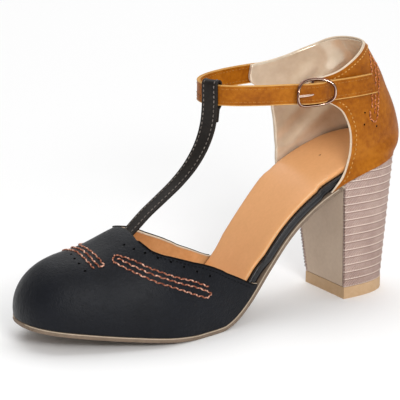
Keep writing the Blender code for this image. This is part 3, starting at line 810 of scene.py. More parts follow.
def ribbed_look():
    """Stacked heel cover: painted highlight lines on the ridges at each level, painted shadow under them, and
    a fine slanting emboss with painted shade.
    """
    tones = [(0.43, 0.295, 0.25), (0.60, 0.44, 0.38)]
    made = finish("ribbed_stack", tones, (0.55, 0.68), (90, 800, 1800), 0.9)
    tree = made.node_tree
    shader = tree.nodes["Principled BSDF"]
    place = tree.nodes["Texture Coordinate"].outputs["Object"]
    x, y, z = add_node(tree, "ShaderNodeSeparateXYZ", {"Vector": place}).outputs

    def maths(kind, first, second=0.0):
        step = tree.nodes.new("ShaderNodeMath")
        step.operation = kind
        for socket, value in zip(step.inputs, (first, second)):
            if isinstance(value, float):
                socket.default_value = value
            else:
                tree.links.new(value, socket)
        return step.outputs["Value"]

    def lay(under, value, fade, colour, most=1.0):
        """Lay a tone where the value is past its fade."""
        blend = tree.nodes.new("ShaderNodeMix")
        blend.data_type = "RGBA"
        tree.links.new(spread(tree, value, 0.0, most, *fade), blend.inputs[0])
        tree.links.new(under, blend.inputs[6])
        blend.inputs[7].default_value = (*colour, 1.0)
        return blend.outputs[2]

    slant = maths("ADD", maths("ADD", x, maths("ABSOLUTE", y)), maths("MULTIPLY", z, EMBOSS_LEAN))
    wave = maths("SINE", maths("MULTIPLY", slant, 2 * math.pi / (EMBOSS_PITCH * MM)))
    level = maths("FRACT", maths("DIVIDE", maths("SUBTRACT", z, HEEL_BASE_Z * MM), RIB_PITCH * MM))
    from_middle = maths("ABSOLUTE", maths("SUBTRACT", level, 0.5))
    from_shade = maths("ABSOLUTE", maths("SUBTRACT", level, RIDGE_SHADE_AT))
    # Painted shade on the emboss where its wave is high, painted shadow just under each ridge, painted
    # highlight on each ridge
    tone = lay(shader.inputs["Base Color"].links[0].from_socket, wave, EMBOSS_FADE, RIDGE_SHADE, 0.45)
    tone = lay(tone, from_shade, SHADE_FADE, RIDGE_SHADE, 0.8)
    tree.links.new(lay(tone, from_middle, RIDGE_FADE, RIDGE_HIGHLIGHT), shader.inputs["Base Color"])
    under = shader.inputs["Normal"].links[0].from_socket
    tree.links.new(bump(tree, wave, 0.8, COARSE_DEPTH, under), shader.inputs["Normal"])
    return made


# Mesh helpers

# Points closer than this, in metres, become one
WELD = 0.00001


def weld(bm):
    bmesh.ops.remove_doubles(bm, verts=bm.verts, dist=WELD)


def close_mesh(bm, name):
    """Smooth shaded mesh of the finished faces."""
    mesh = bpy.data.meshes.new(name)
    for face in bm.faces:
        face.smooth = True
    bm.to_mesh(mesh)
    bm.free()
    return mesh


def add_object(name, data):
    made = bpy.data.objects.new(name, data)
    bpy.context.scene.collection.objects.link(made)
    return made


def add_piece(name, mesh, looks, slot, *replaced):
    """A piece that rides with the shoe and may stand for CAD nodes."""
    piece = add_object(name, mesh)
    for look in looks:
        mesh.materials.append(look)
    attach(piece, "root")
    if replaced:
        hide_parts(*replaced)
    return piece


def add_skin(name, grids, looks, slot, *replaced):
    """One smooth sheet from grids of points; a flag turns a grid's faces over."""
    bm = bmesh.new()
    for grid, turned in grids:
        rows, columns = grid.shape[:2]
        verts = [[bm.verts.new(Vector(point) * MM) for point in row] for row in grid.tolist()]
        for i in range(rows - 1):
            for j in range(columns - 1):
                ring = [verts[i][j], verts[i][j + 1], verts[i + 1][j + 1], verts[i + 1][j]]
                bm.faces.new(ring[::-1] if turned else ring)
    weld(bm)
    bmesh.ops.dissolve_degenerate(bm, edges=bm.edges, dist=WELD)
    return add_piece(name, close_mesh(bm, name), looks, slot, *replaced)


def add_wall(piece, thickness, offset=-1.0, inner=0, rim=0, round_edge=0.0):
    """A real wall, with its own looks inside and on the cut edge, and softened edges."""
    wall = piece.modifiers.new("wall", "SOLIDIFY")
    wall.thickness = thickness * MM
    wall.offset = offset
    wall.material_offset = inner
    wall.material_offset_rim = rim
    if round_edge:
        edge = piece.modifiers.new("edge", "BEVEL")
        edge.width = round_edge * MM
        edge.segments = 3
        edge.limit_method = "ANGLE"
        edge.angle_limit = math.radians(40)
        edge.harden_normals = False


def add_tube(name, points, radius, look, slot, cyclic=False):
    """Round cord or wire along a path."""
    curve = bpy.data.curves.new(name, "CURVE")
    curve.dimensions = "3D"
    curve.bevel_depth = radius * MM
    curve.bevel_resolution = 4
    curve.use_fill_caps = True
    spline = curve.splines.new("POLY")
    spline.points.add(len(points) - 1)
    for knot, point in zip(spline.points, points):
        knot.co = (*(Vector(point) * MM), 1.0)
    spline.use_cyclic_u = cyclic
    holder = bpy.data.objects.new(name, curve)
    rough = bpy.data.meshes.new_from_object(holder)
    bm = bmesh.new()
    bm.from_mesh(rough)
    for store, item in ((bpy.data.objects, holder), (bpy.data.curves, curve), (bpy.data.meshes, rough)):
        store.remove(item)
    weld(bm)
    return add_piece(name, close_mesh(bm, name), [look], slot)


# Sole, board and sock lining

# Edge of each layer: inset from its outline, height over the underside
SOLE_EDGE = ((0.9, 2.6), (0.15, 2.5), (0.0, 2.2), (0.0, 0.7), (0.25, 0.2), (0.9, 0.0))
RAND_EDGE = (
    (1.3, 7.5), (0.35, 7.3), (0.0, 6.8), (0.05, 6.2), (0.5, 5.75),
    (0.1, 5.3), (0.0, 4.4), (0.15, 3.3), (0.6, 2.9),
)
SOCK_EDGE = ((1.2, 9.8), (0.35, 9.65), (0.0, 9.2), (0.0, 8.2), (0.3, 7.8))
SLAB_ROWS = 120
SLAB_COLUMNS = 13
# Cushion under heel and arch: how far it lifts each side of the sock, and where it starts and is full
PAD_LIFT = {LATERAL: 1.0, MEDIAL: 3.4}
PAD_RUN = (-58.0, 28.0)
# Beads on the edges: height over the underside, radius, x of both ends. The sock's and the sole's beads are
# lighter lines, painted highlights of those rounded edges; the rand's bead is black.
BEAD_INSET = 0.15
SOCK_BEAD = (9.3, 0.3, -88.0, 16.0)
RAND_BEAD = (7.1, 0.35, -88.0, 20.0)
SOLE_BEAD = (2.25, 0.28, BREAST_TOP + 3.0, X_TOE - 0.5)
# Tread lines, darker tubes painted as the shade of tread grooves: first and last x and how many; each keeps
# off the sole's edge and lies almost flush
FRONT_TREAD = (-30.0, 80.0, 28)
TREAD_BOW = 3.0
TREAD_INSET = 5.0
TREAD_RADIUS = 0.8
TREAD_PROUD = 0.04
# Small darker dot on the heel seat, nearly flush, painted as the shade of a punched dot, and the heights of
# its two ends
DOT_PLACE = (-98.75, -1.5)
DOT_RADIUS = 0.7
DOT_HEIGHTS = (9.0, 9.85)


def flush(side, x):
    return 0.0 * x


def sock_pad(side, x):
    return PAD_LIFT[side] * step_up(-x, -PAD_RUN[0], PAD_RUN[1])


def sock_pad_at(x, y):
    """Lift of the cushion between its two sides."""
    rims = [outline_point(side, np.array([x]), sock_inset)[1][0] for side in (MEDIAL, LATERAL)]
    share = (y - rims[0]) / (rims[1] - rims[0])
    return float(sock_pad(MEDIAL, x) * (1 - share) + sock_pad(LATERAL, x) * share)


def add_layer(name, x_back, inset, edge, look, slot, replaced, pad=None):
    """Layer under the foot whose rounded edge follows a profile; a pad lifts all but its lowest line."""
    x = stations(x_back, X_TOE, SLAB_ROWS)
    rims = []
    for side in (LATERAL, MEDIAL):
        rim = []
        for deeper, height in edge:
            px, py = outline_point(side, x, inset(side, x) + deeper)
            lift = pad(side, px) if pad and height > edge[-1][1] else 0.0
            rim.append(sole_point(px, py, height + lift))
        rims.append(np.stack(rim, 1))
    across = np.linspace(0, 1, SLAB_COLUMNS)[None, :, None]
    outer, inner = rims
    grids = [(outer, False), (inner, True)]
    for level, turned in ((0, True), (-1, False)):
        grids.append((outer[:, level, None] * (1 - across) + inner[:, level, None] * across, turned))
    for end, turned in ((0, True), (-1, False)):
        grids.append((outer[end][:, None] * (1 - across) + inner[end][:, None] * across, turned))
    add_skin(name, grids, [look], slot, replaced)


def add_bead(name, bead, inset, look, slot, pad=None, side=LATERAL, count=140):
    """Fine bead along one side of a layer's edge."""
    height, radius, *ends = bead
    x = stations(*ends, count)
    px, py = outline_point(side, x, inset(side, x) + BEAD_INSET)
    line = sole_point(px, py, height + (pad(side, px) if pad else 0.0))
    add_tube(name, line, radius, look, slot)


def build_tread():
    x_first, x_last, count = FRONT_TREAD
    across = np.linspace(-1, 1, 17)
    for k, x in enumerate(np.linspace(x_first, x_last, count)):
        bowed = x - TREAD_BOW * across**2
        reach = np.where(across > 0, half_width(LATERAL, bowed), half_width(MEDIAL, bowed)) - TREAD_INSET
        line = sole_point(bowed, centre(bowed) + across * reach, TREAD_RADIUS - TREAD_PROUD)
        add_tube(f"tread_{k + 1}", line, TREAD_RADIUS, TREAD_GROOVE_SHADE, "outsole_rubber")


def build_sole():
    add_layer("sole_skin", BREAST_TOP + 1.4, flush, SOLE_EDGE, SOLE, "outsole_rubber", "outsole")
    add_layer("rand_skin", X_HEEL, board_inset, RAND_EDGE, RAND, "black_wrap", "insole_board")
    add_layer("sock_skin", X_HEEL, sock_inset, SOCK_EDGE, SOCK, "tan_lining", "sock_lining", sock_pad)
    # Lighter bead on the sock's outer edge only: painted highlight
    add_bead("sock_edge_highlight", SOCK_BEAD, sock_inset, SOCK_RIM_HIGHLIGHT, "tan_lining", sock_pad)
    # Pale beads on the outsole's top edge on both sides: painted highlight of the lit edge
    for side, word in SIDES:
        add_bead(f"sole_bead_{word}", SOLE_BEAD, flush, SOLE_PALE_AND_HIGHLIGHT, "outsole_rubber", None, side, 200)
    build_tread()
    x, y = np.array(DOT_PLACE)
    dot = [sole_point(x, y, height + sock_pad_at(x, y)) for height in DOT_HEIGHTS]
    add_tube("sock_dot", dot, DOT_RADIUS, DOT_SHADE, "tan_lining")
    add_bead("rand_bead", RAND_BEAD, board_inset, RAND, "black_wrap")


# Rows and dots on curved faces

QUARTER_INNER = (-96.0, 0.0, 110.0)
# For each face: millimetres for one step of place and of share up, the step of place
# that finds its slope, and a point inside the shoe
FACES = {
    vamp_point: (np.array([1.0, 60.0]), 0.4, (20.0, -1.0, 8.0)),
    quarter_point: (np.array([62.0, 55.0]), 0.01, QUARTER_INNER),
}
UP_STEP = 0.01
SPOT_STEP = 0.008


def face_row(face, side, walk, count=90):
    """Smooth row over a curved face, with its outward normals.

    The walk lists place and share up; past one the share runs on, down the other side.
    """
    scale, reach, inner = FACES[face]
    walk = smooth_path(np.asarray(walk) * scale, count) / scale
    points = np.zeros((count, 3))
    normals = np.zeros((count, 3))
    for part, mine in ((side, walk[:, 1] <= 1), (-side, walk[:, 1] > 1)):
        if not mine.any():
            continue
        place = walk[mine, 0]
        up = np.minimum(np.minimum(walk[mine, 1], 2 - walk[mine, 1]), 0.99)
        here = face(part, place, up)
        along = face(part, place + reach, up) - face(part, place - reach, up)
        rise = face(part, place, up + UP_STEP) - face(part, place, up - UP_STEP)
        normal = unit(np.cross(along, rise))
        points[mine] = here
        normals[mine] = normal * np.sign(np.sum(normal * (here - np.asarray(inner)), 1, keepdims=True))
    return points, normals


def spots(face, side, table):
    """Places of single holes: a point and its normal for each place and share up."""
    made = []
    for place, up in table:
        walk = [(place, up + step) for step in (-SPOT_STEP, 0.0, SPOT_STEP)]
        points, normals = face_row(face, side, walk, 3)
        made.append((points[1], normals[1]))
    return made


def grid_row(grid, column, lift):
    """Row along one column of a strap's grid, raised to its outer face."""
    along = np.gradient(grid[:, column], axis=0)
    normal = unit(np.cross(grid[:, -1] - grid[:, 0], along))
    return grid[:, column] + normal * lift, normal


# Rings of one stitch: share along, lift and girth
STITCH = (
    (0.0, -0.6, 0.5), (0.14, 0.2, 0.85), (0.38, 0.75, 1.0),
    (0.62, 0.75, 1.0), (0.86, 0.2, 0.85), (1.0, -0.6, 0.5),
)
STITCH_SIDES = 6
# Dark line under each quarter band row, a painted shadow under its stitches: its radius and how far it sinks
# into the face
SHADOW_LINE_RADIUS = 0.42
SHADOW_LINE_SINK = 0.22
PUNCH_PROUD = 0.6
PUNCH_DEPTH = 0.8


def add_stitches(name, rows, look, slot, length, gap, girth, lean=0.0):
    """Raised thread stitches, one after another; a lean turns them to alternate sides, like a chain."""
    bm = bmesh.new()
    turns = np.arange(STITCH_SIDES) * 2 * math.pi / STITCH_SIDES
    for points, normals in rows:
        reach = walked(points)
        count = max(int(reach[-1] / (length + gap)), 1)
        pitch = reach[-1] / count
        for k in range(count):
            ends = k * pitch + gap / 2 + np.array([0.0, pitch - gap])
            first, last = [np.array([np.interp(s, reach, points[:, c]) for c in range(3)]) for s in ends]
            up = unit(np.array([np.interp(ends.mean(), reach, normals[:, c]) for c in range(3)]))
            run = last - first
            sideways = np.cross(up, unit(run))
            rings = []
            for share, lift, wide in STITCH:
                middle = first + run * share + up * girth * lift + sideways * lean * (share - 0.5) * (-1) ** k
                ring = [middle + girth * wide * (math.cos(a) * up + math.sin(a) * sideways) for a in turns]
                rings.append([bm.verts.new(Vector(point) * MM) for point in ring])
            for low, high in zip(rings, rings[1:]):
                for j in range(STITCH_SIDES):
                    bm.faces.new((low[j], low[j - 1], high[j - 1], high[j]))
            bm.faces.new(rings[0])
            bm.faces.new(rings[-1][::-1])
    bmesh.ops.recalc_face_normals(bm, faces=bm.faces)
    add_piece(name, close_mesh(bm, name), [look], slot)


def punch(piece, places, radius, index):
    """Blind round holes in a finished skin; their walls take the look at that index, there the painted shade
    of the hole.
    """
    bm = bmesh.new()
    for point, normal in places:
        turn = Vector(normal).to_track_quat("Z", "Y").to_matrix().to_4x4()
        turn.translation = Vector(point + normal * (PUNCH_PROUD - PUNCH_DEPTH) / 2) * MM
        bmesh.ops.create_cone(bm, cap_ends=True, segments=14, radius1=radius * MM, radius2=radius * MM,
                              depth=(PUNCH_DEPTH + PUNCH_PROUD) * MM, matrix=turn)
    for face in bm.faces:
        face.material_index = index
    mesh = bpy.data.meshes.new("punch")
    bm.to_mesh(mesh)
    bm.free()
    tool = add_object("punch", mesh)
    cut = piece.modifiers.new("punch", "BOOLEAN")
    cut.operation = "DIFFERENCE"
    cut.solver = "EXACT"
    cut.object = tool
    bpy.context.view_layer.update()
    seen = piece.evaluated_get(bpy.context.evaluated_depsgraph_get())
    made = bpy.data.meshes.new_from_object(seen)
    piece.modifiers.clear()
    piece.data = made
    bpy.data.objects.remove(tool)


# Vamp

# All rows start on the outer side: x, share up the rib, past one on the inner side.
# Copper band on the outer side
OUTER_BAND = (
    ((42.7, 0.731), (35.7, 0.599), (31.0, 0.516), (24.3, 0.442), (16.6, 0.383), (7.8, 0.335), (-2.1, 0.263)),
    ((42.9, 0.690), (36.5, 0.549), (30.1, 0.456), (23.3, 0.395), (15.0, 0.338), (5.2, 0.285), (-1.8, 0.234)),
    ((45.5, 0.673), (41.3, 0.574), (35.5, 0.474), (28.7, 0.391), (21.0, 0.334), (10.9, 0.269), (-0.3, 0.205)),
)
# Copper band over the toe, across the crest and down the inner side
TOE_BAND = (
    ((56.8, 0.656), (59.6, 0.813), (62.0, 0.985), (61.0, 1.18), (56.0, 1.38), (46.0, 1.55), (31.0, 1.67)),
    ((54.8, 0.726), (56.2, 0.865), (57.2, 0.985), (56.2, 1.14), (51.0, 1.34), (42.0, 1.50), (29.0, 1.62)),
    ((50.6, 0.675), (52.4, 0.852), (53.4, 0.985), (52.4, 1.12), (47.0, 1.30), (38.0, 1.45), (26.0, 1.57)),
)
# Loops that close two rows at their ends: two on the outer band, three on the toe band
BAND_LOOPS = (
    ((42.7, 0.731), (44.4, 0.715), (45.5, 0.673)),
    ((-1.8, 0.234), (-3.4, 0.220), (-0.3, 0.205)),
    ((54.8, 0.726), (52.4, 0.655), (50.6, 0.675)),
    ((31.0, 1.67), (28.6, 1.665), (29.0, 1.62)),
    ((29.0, 1.62), (25.8, 1.61), (26.0, 1.57)),
)
TOPLINE_HOLES = (
    (36.5, 0.789), (33.4, 0.703), (29.4, 0.630), (24.2, 0.558),
    (18.3, 0.502), (11.7, 0.442), (4.2, 0.384), (-3.5, 0.323),
)
TOE_HOLES = (
    (68.9, 0.975), (67.1, 0.859), (64.9, 0.762), (62.4, 0.65),
    (67.4, 1.13), (63.5, 1.27), (57.0, 1.40),
)
INNER_HOLES_UP = 0.05
VAMP_HOLE = 0.65
# Edge seam under the topline, and the binding and lip on its two corners
EDGE_SEAM = 0.028
BINDING_RISE = {LATERAL: 0.0, MEDIAL: 0.35}
BINDING_OUT = 0.12
BINDING_RADIUS = 0.38
LIP_IN = VAMP_WALL - 0.2
LIP_RADIUS = 0.4
LIP_LOOK = {LATERAL: PEACH, MEDIAL: EDGE_CREAM}
THROAT_RADIUS = 0.55


def topline_walk(side, ends, count, down):
    """Places just under the vamp's cut edge, as far down as told."""
    share = [(X_THROAT - x) / (X_THROAT - X_VAMP_REAR) for x in np.linspace(*ends, count)]
    cut = smooth(VAMP_TOP, COLUMN[side], share)
    return np.stack([np.linspace(*ends, count), cut - down], 1)


def build_vamp():
    looks = [NUBUCK, PEACH, EDGE_CREAM, HOLE_SHADE]
    piece = add_skin("vamp_skin", vamp_grids(70, 44, 10), looks, "black_nubuck", "vamp")
    add_wall(piece, VAMP_WALL, inner=1, rim=2, round_edge=0.25)
    inner_holes = tuple((x, 2 - up - INNER_HOLES_UP) for x, up in TOPLINE_HOLES)
    holes = spots(vamp_point, LATERAL, TOPLINE_HOLES + inner_holes + TOE_HOLES)
    punch(piece, holes, VAMP_HOLE, 3)
    bands = [face_row(vamp_point, LATERAL, row) for row in OUTER_BAND + TOE_BAND]
    add_stitches("vamp_band", bands, COPPER_THREAD_AND_HIGHLIGHT, "black_nubuck", 2.1, -0.05, 0.46, 0.65)
    loops = [face_row(vamp_point, LATERAL, row, 30) for row in BAND_LOOPS]
    add_stitches("vamp_band_loops", loops, COPPER_THREAD_AND_HIGHLIGHT, "black_nubuck", 1.6, -0.1, 0.44, 0.55)
    seams = []
    for side in (LATERAL, MEDIAL):
        walk = topline_walk(side, (X_THROAT - 1.0, X_VAMP_REAR + 5.0), 16, EDGE_SEAM)
        seams.append(face_row(vamp_point, side, walk, 160))
    add_stitches("vamp_edge_seam", seams, BLACK_THREAD, "black_nubuck", 1.3, 0.9, 0.24)
    rise = np.linspace(VAMP_TOP[0][1], 0.98, 6)
    throat = [(X_THROAT + 0.3, up) for up in (*rise, *(2 - rise[::-1]))]
    points, normals = face_row(vamp_point, LATERAL, throat, 60)
    add_tube("throat_lip", points - normals * (VAMP_WALL * 0.5), THROAT_RADIUS, EDGE_CREAM, "tan_lining")
    for side, word in SIDES:
        walk = topline_walk(side, (X_THROAT - 0.5, X_VAMP_REAR + 1.5), 40, 0.004)
        points, normals = face_row(vamp_point, side, walk, 140)
        binding = points + normals * BINDING_OUT + [0, 0, BINDING_RISE[side]]
        add_tube(f"vamp_binding_{word}", binding, BINDING_RADIUS, BLACK_THREAD, "black_nubuck")
        add_tube(f"vamp_lip_{word}", points - normals * LIP_IN, LIP_RADIUS, LIP_LOOK[side], "tan_lining")


# Quarter

# Copper band behind the strap: share along from the front edge, share up; each next row is stepped down
QUARTER_BAND = ((0.68, 0.930), (0.50, 0.800), (0.409, 0.720), (0.320, 0.615), (0.255, 0.509))
BAND_STEP = (0.012, -0.056)
QUARTER_LOOP = ((0.225, 0.500), (0.205, 0.450), (0.215, 0.415), (0.245, 0.390), (0.280, 0.385))
QUARTER_HOLES = ((0.167, 0.515), (0.133, 0.421), (0.269, 0.340))
QUARTER_HOLE = 0.55
# Edge seams: the front's share along and its run up, the collar's share up and its run along
FRONT_SEAM = (0.042, 0.03, 0.76)
COLLAR_SEAM = (0.962, 0.12, 0.98)
PIPING_RADIUS = 0.46
PIPING_IN = 0.75
LINING_GAP = 0.3
LINING_WALL = 0.6
# Soft creases of the satin: side, share along and up of both ends, width, height
CREASES = (
    (-1, 0.06, 0.16, 0.50, 0.46, 3.6, 1.5),
    (-1, 0.04, 0.40, 0.40, 0.66, 3.2, 1.2),
    (-1, 0.08, 0.64, 0.46, 0.86, 3.0, 1.1),
    (-1, 0.34, 0.30, 0.86, 0.62, 3.8, 1.5),
    (-1, 0.30, 0.58, 0.84, 0.90, 3.4, 1.3),
    (-1, 0.62, 0.42, 0.98, 0.68, 3.4, 1.2),
    (-1, 0.50, 0.12, 0.96, 0.34, 3.2, 1.0),
    (1, 0.10, 0.30, 0.60, 0.52, 3.8, 1.3),
    (1, 0.20, 0.60, 0.80, 0.76, 3.4, 1.2),
    (1, 0.30, 0.14, 0.84, 0.34, 3.2, 1.0),
    (1, 0.60, 0.48, 0.98, 0.60, 3.2, 1.1),
)
CREASE_SPAN = (62.0, 52.0)
CREASE_LEAST = 0.35


def crease_height(side, along, up):
    """How far the lining stands off its wall."""
    height = 0.0
    for where, a0, u0, a1, u1, wide, tall in CREASES:
        if where != side:
            continue
        run = np.array([(a1 - a0) * CREASE_SPAN[0], (u1 - u0) * CREASE_SPAN[1]])
        px = (along - a0) * CREASE_SPAN[0]
        py = (up - u0) * CREASE_SPAN[1]
        share = np.clip((px * run[0] + py * run[1]) / (run @ run), 0, 1)
        away = np.hypot(px - share * run[0], py - share * run[1])
        full = CREASE_LEAST + (1 - CREASE_LEAST) * np.sin(np.pi * np.clip(share, 0.05, 0.95))
        height = height + tall * np.exp(-(away / wide) ** 2) * full
    return height * np.clip(4 * np.minimum(up, 1 - up) + 0.1, 0, 1)


def lining_grids(rows=60, columns=90):
    grids = []
    along, up = shares(rows, columns)
    for side in (LATERAL, MEDIAL):
        face = quarter_point(side, along, up)
        normal = unit(np.cross(np.gradient(face, axis=0), np.gradient(face, axis=1)))
        normal = normal * np.sign(np.sum(normal * (np.asarray(QUARTER_INNER) - face), -1, keepdims=True))
        normal[:, -1, 1] = 0.0
        off = QUARTER_WALL + LINING_GAP + crease_height(side, along, up)
        grids.append((face + normal * off[..., None], side == LATERAL))
    return grids


def piping_path():
    """Round the quarter's open edges: up one wing, along the collar, down the other."""
    runs = []
    for side, back in ((LATERAL, False), (MEDIAL, True)):
        front = quarter_point(side, np.zeros(60), np.linspace(0.0, 1.0, 60))
        top = quarter_point(side, np.linspace(0.0, 1.0, 90), np.ones(90))
        run = np.concatenate([front, top[1:]])
        runs.append(run[::-1][1:] if back else run)
    path = np.concatenate(runs)
    inward = np.asarray(QUARTER_INNER) - path
    inward[:, 2] = 0.0
    path = path + unit(inward) * QUARTER_WALL * PIPING_IN
    for _ in range(6):
        path[1:-1] = (path[:-2] + 2 * path[1:-1] + path[2:]) / 4
    return smooth_path(path, 320)


def build_quarter():
    looks = [OCHRE, SATIN, EDGE_CREAM, HOLE_SHADE]
    piece = add_skin("quarter_skin", quarter_grids(60, 90), looks, "ochre_leather", "quarter")
    add_wall(piece, QUARTER_WALL, inner=1, rim=2, round_edge=0.25)
    holes = [spots(quarter_point, side, QUARTER_HOLES) for side in (LATERAL, MEDIAL)]
    punch(piece, holes[0] + holes[1], QUARTER_HOLE, 3)
    lining = add_skin("quarter_lining", lining_grids(), [SATIN], "tan_lining")
    add_wall(lining, LINING_WALL)
    add_tube("quarter_piping", piping_path(), PIPING_RADIUS, EDGE_CREAM, "tan_lining")
    bands = []
    seams = []
    for side in (LATERAL, MEDIAL):
        for k in range(3):
            row = np.array(QUARTER_BAND) + k * np.array(BAND_STEP)
            bands.append(face_row(quarter_point, side, row))
        bands.append(face_row(quarter_point, side, QUARTER_LOOP, 40))
        front = [(FRONT_SEAM[0], up) for up in np.linspace(*FRONT_SEAM[1:], 14)]
        collar = [(along, COLLAR_SEAM[0]) for along in np.linspace(*COLLAR_SEAM[1:], 14)]
        seams += [face_row(quarter_point, side, walk, 120) for walk in (front, collar)]
    add_stitches("quarter_band", bands, RED_THREAD, "ochre_leather", 1.9, 0.1, 0.42, 0.9)
    # Dark brown tube under each band row: painted shadow under the stitches
    for k, (points, normals) in enumerate(bands):
        shadow_line = points - normals * SHADOW_LINE_SINK
        add_tube(f"quarter_band_shadow_line_{k + 1}", shadow_line, SHADOW_LINE_RADIUS, BROWN_THREAD_AND_SHADOW_LINE, "ochre_leather")
    add_stitches("quarter_edge_seam", seams, OCHRE_THREAD, "ochre_leather", 1.5, 1.1, 0.34)


# Straps and buckle

FACES_OF_STRAP = ((0.5, "front"), (-0.5, "back"))
STRAP_EDGE_RADIUS = 0.3
# Light line along the buckle frame's outer crest, a painted highlight: how far out it stands and its radius
CROWN_LIFT = 0.6
CROWN_RADIUS = 0.26


def strap_rows(grid, columns, first, last, lift):
    """Rows along a strap between two shares of its length."""
    count = len(grid) - 1
    part = grid[int(first * count):int(last * count) + 1]
    return [grid_row(part, column, lift) for column in columns]


def widen(grid, columns):
    """The same strap with more columns across."""
    have = np.arange(grid.shape[1])
    want = np.linspace(0, have[-1], columns)
    return np.array([np.stack([np.interp(want, have, row[:, k]) for k in range(3)], 1) for row in grid])


def build_straps():
    grid = t_strap_grid(110, 13)
    piece = add_skin("t_strap_skin", [(grid, False)], [STRAP_BLACK], "black_nubuck", "t_strap")
    add_wall(piece, STRAP_T, 0.0, round_edge=0.35)
    for face, word in FACES_OF_STRAP:
        seams = strap_rows(grid, (2, 10), 0.08, 0.98, face * STRAP_T)
        add_stitches(f"t_strap_seams_{word}", seams, GREY_THREAD, "black_nubuck", 1.7, 0.8, 0.3)

    grid = widen(ankle_grid(240), 13)
    looks = [OCHRE, OCHRE, STRAP_EDGE]
    piece = add_skin("ankle_strap_skin", [(grid, False)], looks, "ochre_leather", "ankle_strap")
    add_wall(piece, ANKLE_T, 0.0, rim=2, round_edge=0.3)
    for face, word in FACES_OF_STRAP:
        lift = face * ANKLE_T
        seams = strap_rows(grid, (2, 10), 0.02, 0.98, lift)
        add_stitches(f"ankle_seams_{word}", seams, STRAP_THREAD, "ochre_leather", 1.5, 0.9, 0.2)
        for k, row in enumerate(strap_rows(grid, (0, 12), 0.0, 1.0, lift * 0.85)):
            add_tube(f"ankle_edge_{word}_{k + 1}", row[0], STRAP_EDGE_RADIUS, STRAP_EDGE, "ochre_leather")
    inner = strap_rows(grid, (4,), 0.03, 0.42, -ANKLE_T / 2)
    add_stitches("ankle_inner_seam", inner, BROWN_THREAD_AND_SHADOW_LINE, "ochre_leather", 2.6, 0.4, 0.3)

    piece = add_skin("buckle_strap_skin", buckle_strap_grids(50), looks, "ochre_leather", "buckle_strap")
    add_wall(piece, BUCKLE_STRAP_T, 0.0, rim=2)


def build_buckle():
    frame_line = np.array(frame_path(96))
    out = np.subtract(buckle_point(0, 0, 1.0), buckle_point(0, 0, 0.0))
    piece = add_tube("buckle_wire", frame_line, WIRE_RADIUS, ROSE, "rose_metal", True)
    # Crest line and prong in the lighter copy of the metal: painted highlight
    add_tube("buckle_crown_highlight", frame_line + out * CROWN_LIFT, CROWN_RADIUS, ROSE_HIGHLIGHT, "rose_metal", True)
    bar = [buckle_point(0, high, BAR_OFFSET) for high in (-FRAME_HALF_HIGH, FRAME_HALF_HIGH)]
    add_tube("buckle_bar", bar, BAR_RADIUS, ROSE, "rose_metal")
    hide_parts("buckle_frame")
    prong = add_tube("prong_wire", smooth_path(prong_path(), 60), PRONG_RADIUS, ROSE_HIGHLIGHT, "rose_metal")
    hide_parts("buckle_prong")


# Heel

RIB_STEPS = 8
RIB_NARROW = 0.6
# Way the seam faces at the heel's front corners
SEAM_FACING = (0.8, 0.6, 0.1)
# Lip that closes the breast under the seat: its shift from the corners and its radius
LIP_SHIFT = (0.7, 0.0, -0.9)
BREAST_LIP = 0.7


def rib_swell(z):
    """Narrow raised ridge at each level."""
    phase = (z - HEEL_BASE_Z) / RIB_PITCH % 1.0
    away = np.minimum(phase, 1 - phase) * RIB_PITCH
    return RIB_DEPTH * np.exp(-(away / RIB_NARROW) ** 2)


def ribbed_grids(columns=60):
    """Level ribs that run out against the slanting seat."""
    grids = []
    levels = np.arange(HEEL_BASE_Z, SEAT_HEIGHT + 12.0, RIB_PITCH / RIB_STEPS)[:, None]
    along = np.linspace(0, 1, columns)[None, :]
    for side in (LATERAL, MEDIAL):
        top = heel_point(side, along, 0.0, 0.0)[..., 2]
        z = np.minimum(levels, top)
        down = (top - z) / (top - HEEL_BASE_Z)
        grids.append((heel_point(side, along + 0 * z, down, RIB_DEPTH - rib_swell(z)), side == MEDIAL))
    return grids


def build_heel():
    piece = add_skin("wrap_skin", ribbed_grids(), [ribbed_look()], "ribbed_stack", "heel_wrap")
    add_wall(piece, WRAP_T)
    down = np.linspace(0.03, 0.97, 60)
    seams = []
    for side in (LATERAL, MEDIAL):
        facing = unit(np.array(SEAM_FACING) * (1, side, 1))
        seams.append((heel_point(side, 0.0 * down, down, 0.0), np.tile(facing, (len(down), 1))))
    add_stitches("breast_seam", seams, BROWN_THREAD_AND_SHADOW_LINE, "ribbed_stack", 1.4, 0.5, 0.2)
    tips = [heel_point(side, 0.0, 0.0, 0.0) for side in (MEDIAL, LATERAL)]
    add_tube("breast_lip", np.linspace(*tips, 30) + LIP_SHIFT, BREAST_LIP, SOLE_PALE_AND_HIGHLIGHT, "outsole_rubber")
    for name, look in (("heel_block", BREAST), ("top_piece", LIFT)):
        node_mesh = frame["nodes"][name].data
        node_mesh.materials.clear()
        node_mesh.materials.append(look)


# Stage

CAMERA_AZIMUTH = 31.0
CAMERA_RISE = 15.0
CAMERA_AWAY = 0.864
CAMERA_LENS = 145.4
CAMERA_TARGET = (-0.01574, 0.0, 0.0647)
PAPER_TONE = 0.95
WORLD_STRENGTH = 0.48
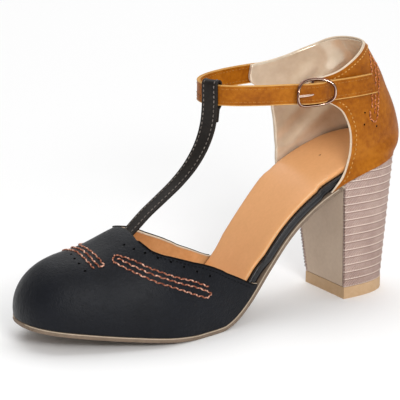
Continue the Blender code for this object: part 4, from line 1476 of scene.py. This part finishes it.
# Lights: azimuth from the outer side toward the toe, rise, distance, size, power, target
LIGHTS = {
    "overhead": (-149.0, 74.0, 2.6, (3.4, 3.4), 53.0, (-0.3, -0.5, 0.0)),
    "key": (8.0, 26.0, 0.8, (0.3, 0.12), 2.4, (0.045, 0.0, 0.03)),
    "camera_fill": (14.0, 32.0, 1.6, (0.6, 0.6), 5.0, (-0.08, 0.0, 0.09)),
}


def place_toward(made, azimuth, rise, away, target):
    """Stand off from the target in a direction and look at it."""
    a = math.radians(azimuth)
    e = math.radians(rise)
    direction = Vector((math.sin(a) * math.cos(e), math.cos(a) * math.cos(e), math.sin(e)))
    made.location = Vector(target) + direction * away
    made.rotation_euler = (Vector(target) - made.location).to_track_quat("-Z", "Y").to_euler()


def build_stage():
    camera = add_object("camera", bpy.data.cameras.new("camera"))
    camera.data.lens = CAMERA_LENS
    camera.data.sensor_width = 36.0
    camera.data.clip_start = 0.01
    place_toward(camera, CAMERA_AZIMUTH, CAMERA_RISE, CAMERA_AWAY, CAMERA_TARGET)
    bpy.context.scene.camera = camera

    bm = bmesh.new()
    bmesh.ops.create_grid(bm, x_segments=1, y_segments=1, size=6.0)
    floor = add_object("floor", close_mesh(bm, "floor"))
    paper = bpy.data.materials.new("paper")
    paper.use_nodes = True
    shader = paper.node_tree.nodes["Principled BSDF"]
    tone = (PAPER_TONE, PAPER_TONE, PAPER_TONE, 1.0)
    set_values(shader, Base_Color=tone, Roughness=0.9, Specular_IOR_Level=0.1)
    floor.data.materials.append(paper)

    world = bpy.data.worlds.new("studio")
    world.use_nodes = True
    set_values(world.node_tree.nodes["Background"], Color=(1.0, 1.0, 1.0, 1.0), Strength=WORLD_STRENGTH)
    bpy.context.scene.world = world
    bpy.context.scene.view_settings.view_transform = "Standard"

    for name, (azimuth, rise, away, size, power, target) in LIGHTS.items():
        light = bpy.data.lights.new(name, "AREA")
        light.shape = "RECTANGLE"
        light.size, light.size_y = size
        light.energy = power
        place_toward(add_object(name, light), azimuth, rise, away, target)


build_sole()
build_vamp()
build_quarter()
build_straps()
build_buckle()
build_heel()
build_stage()
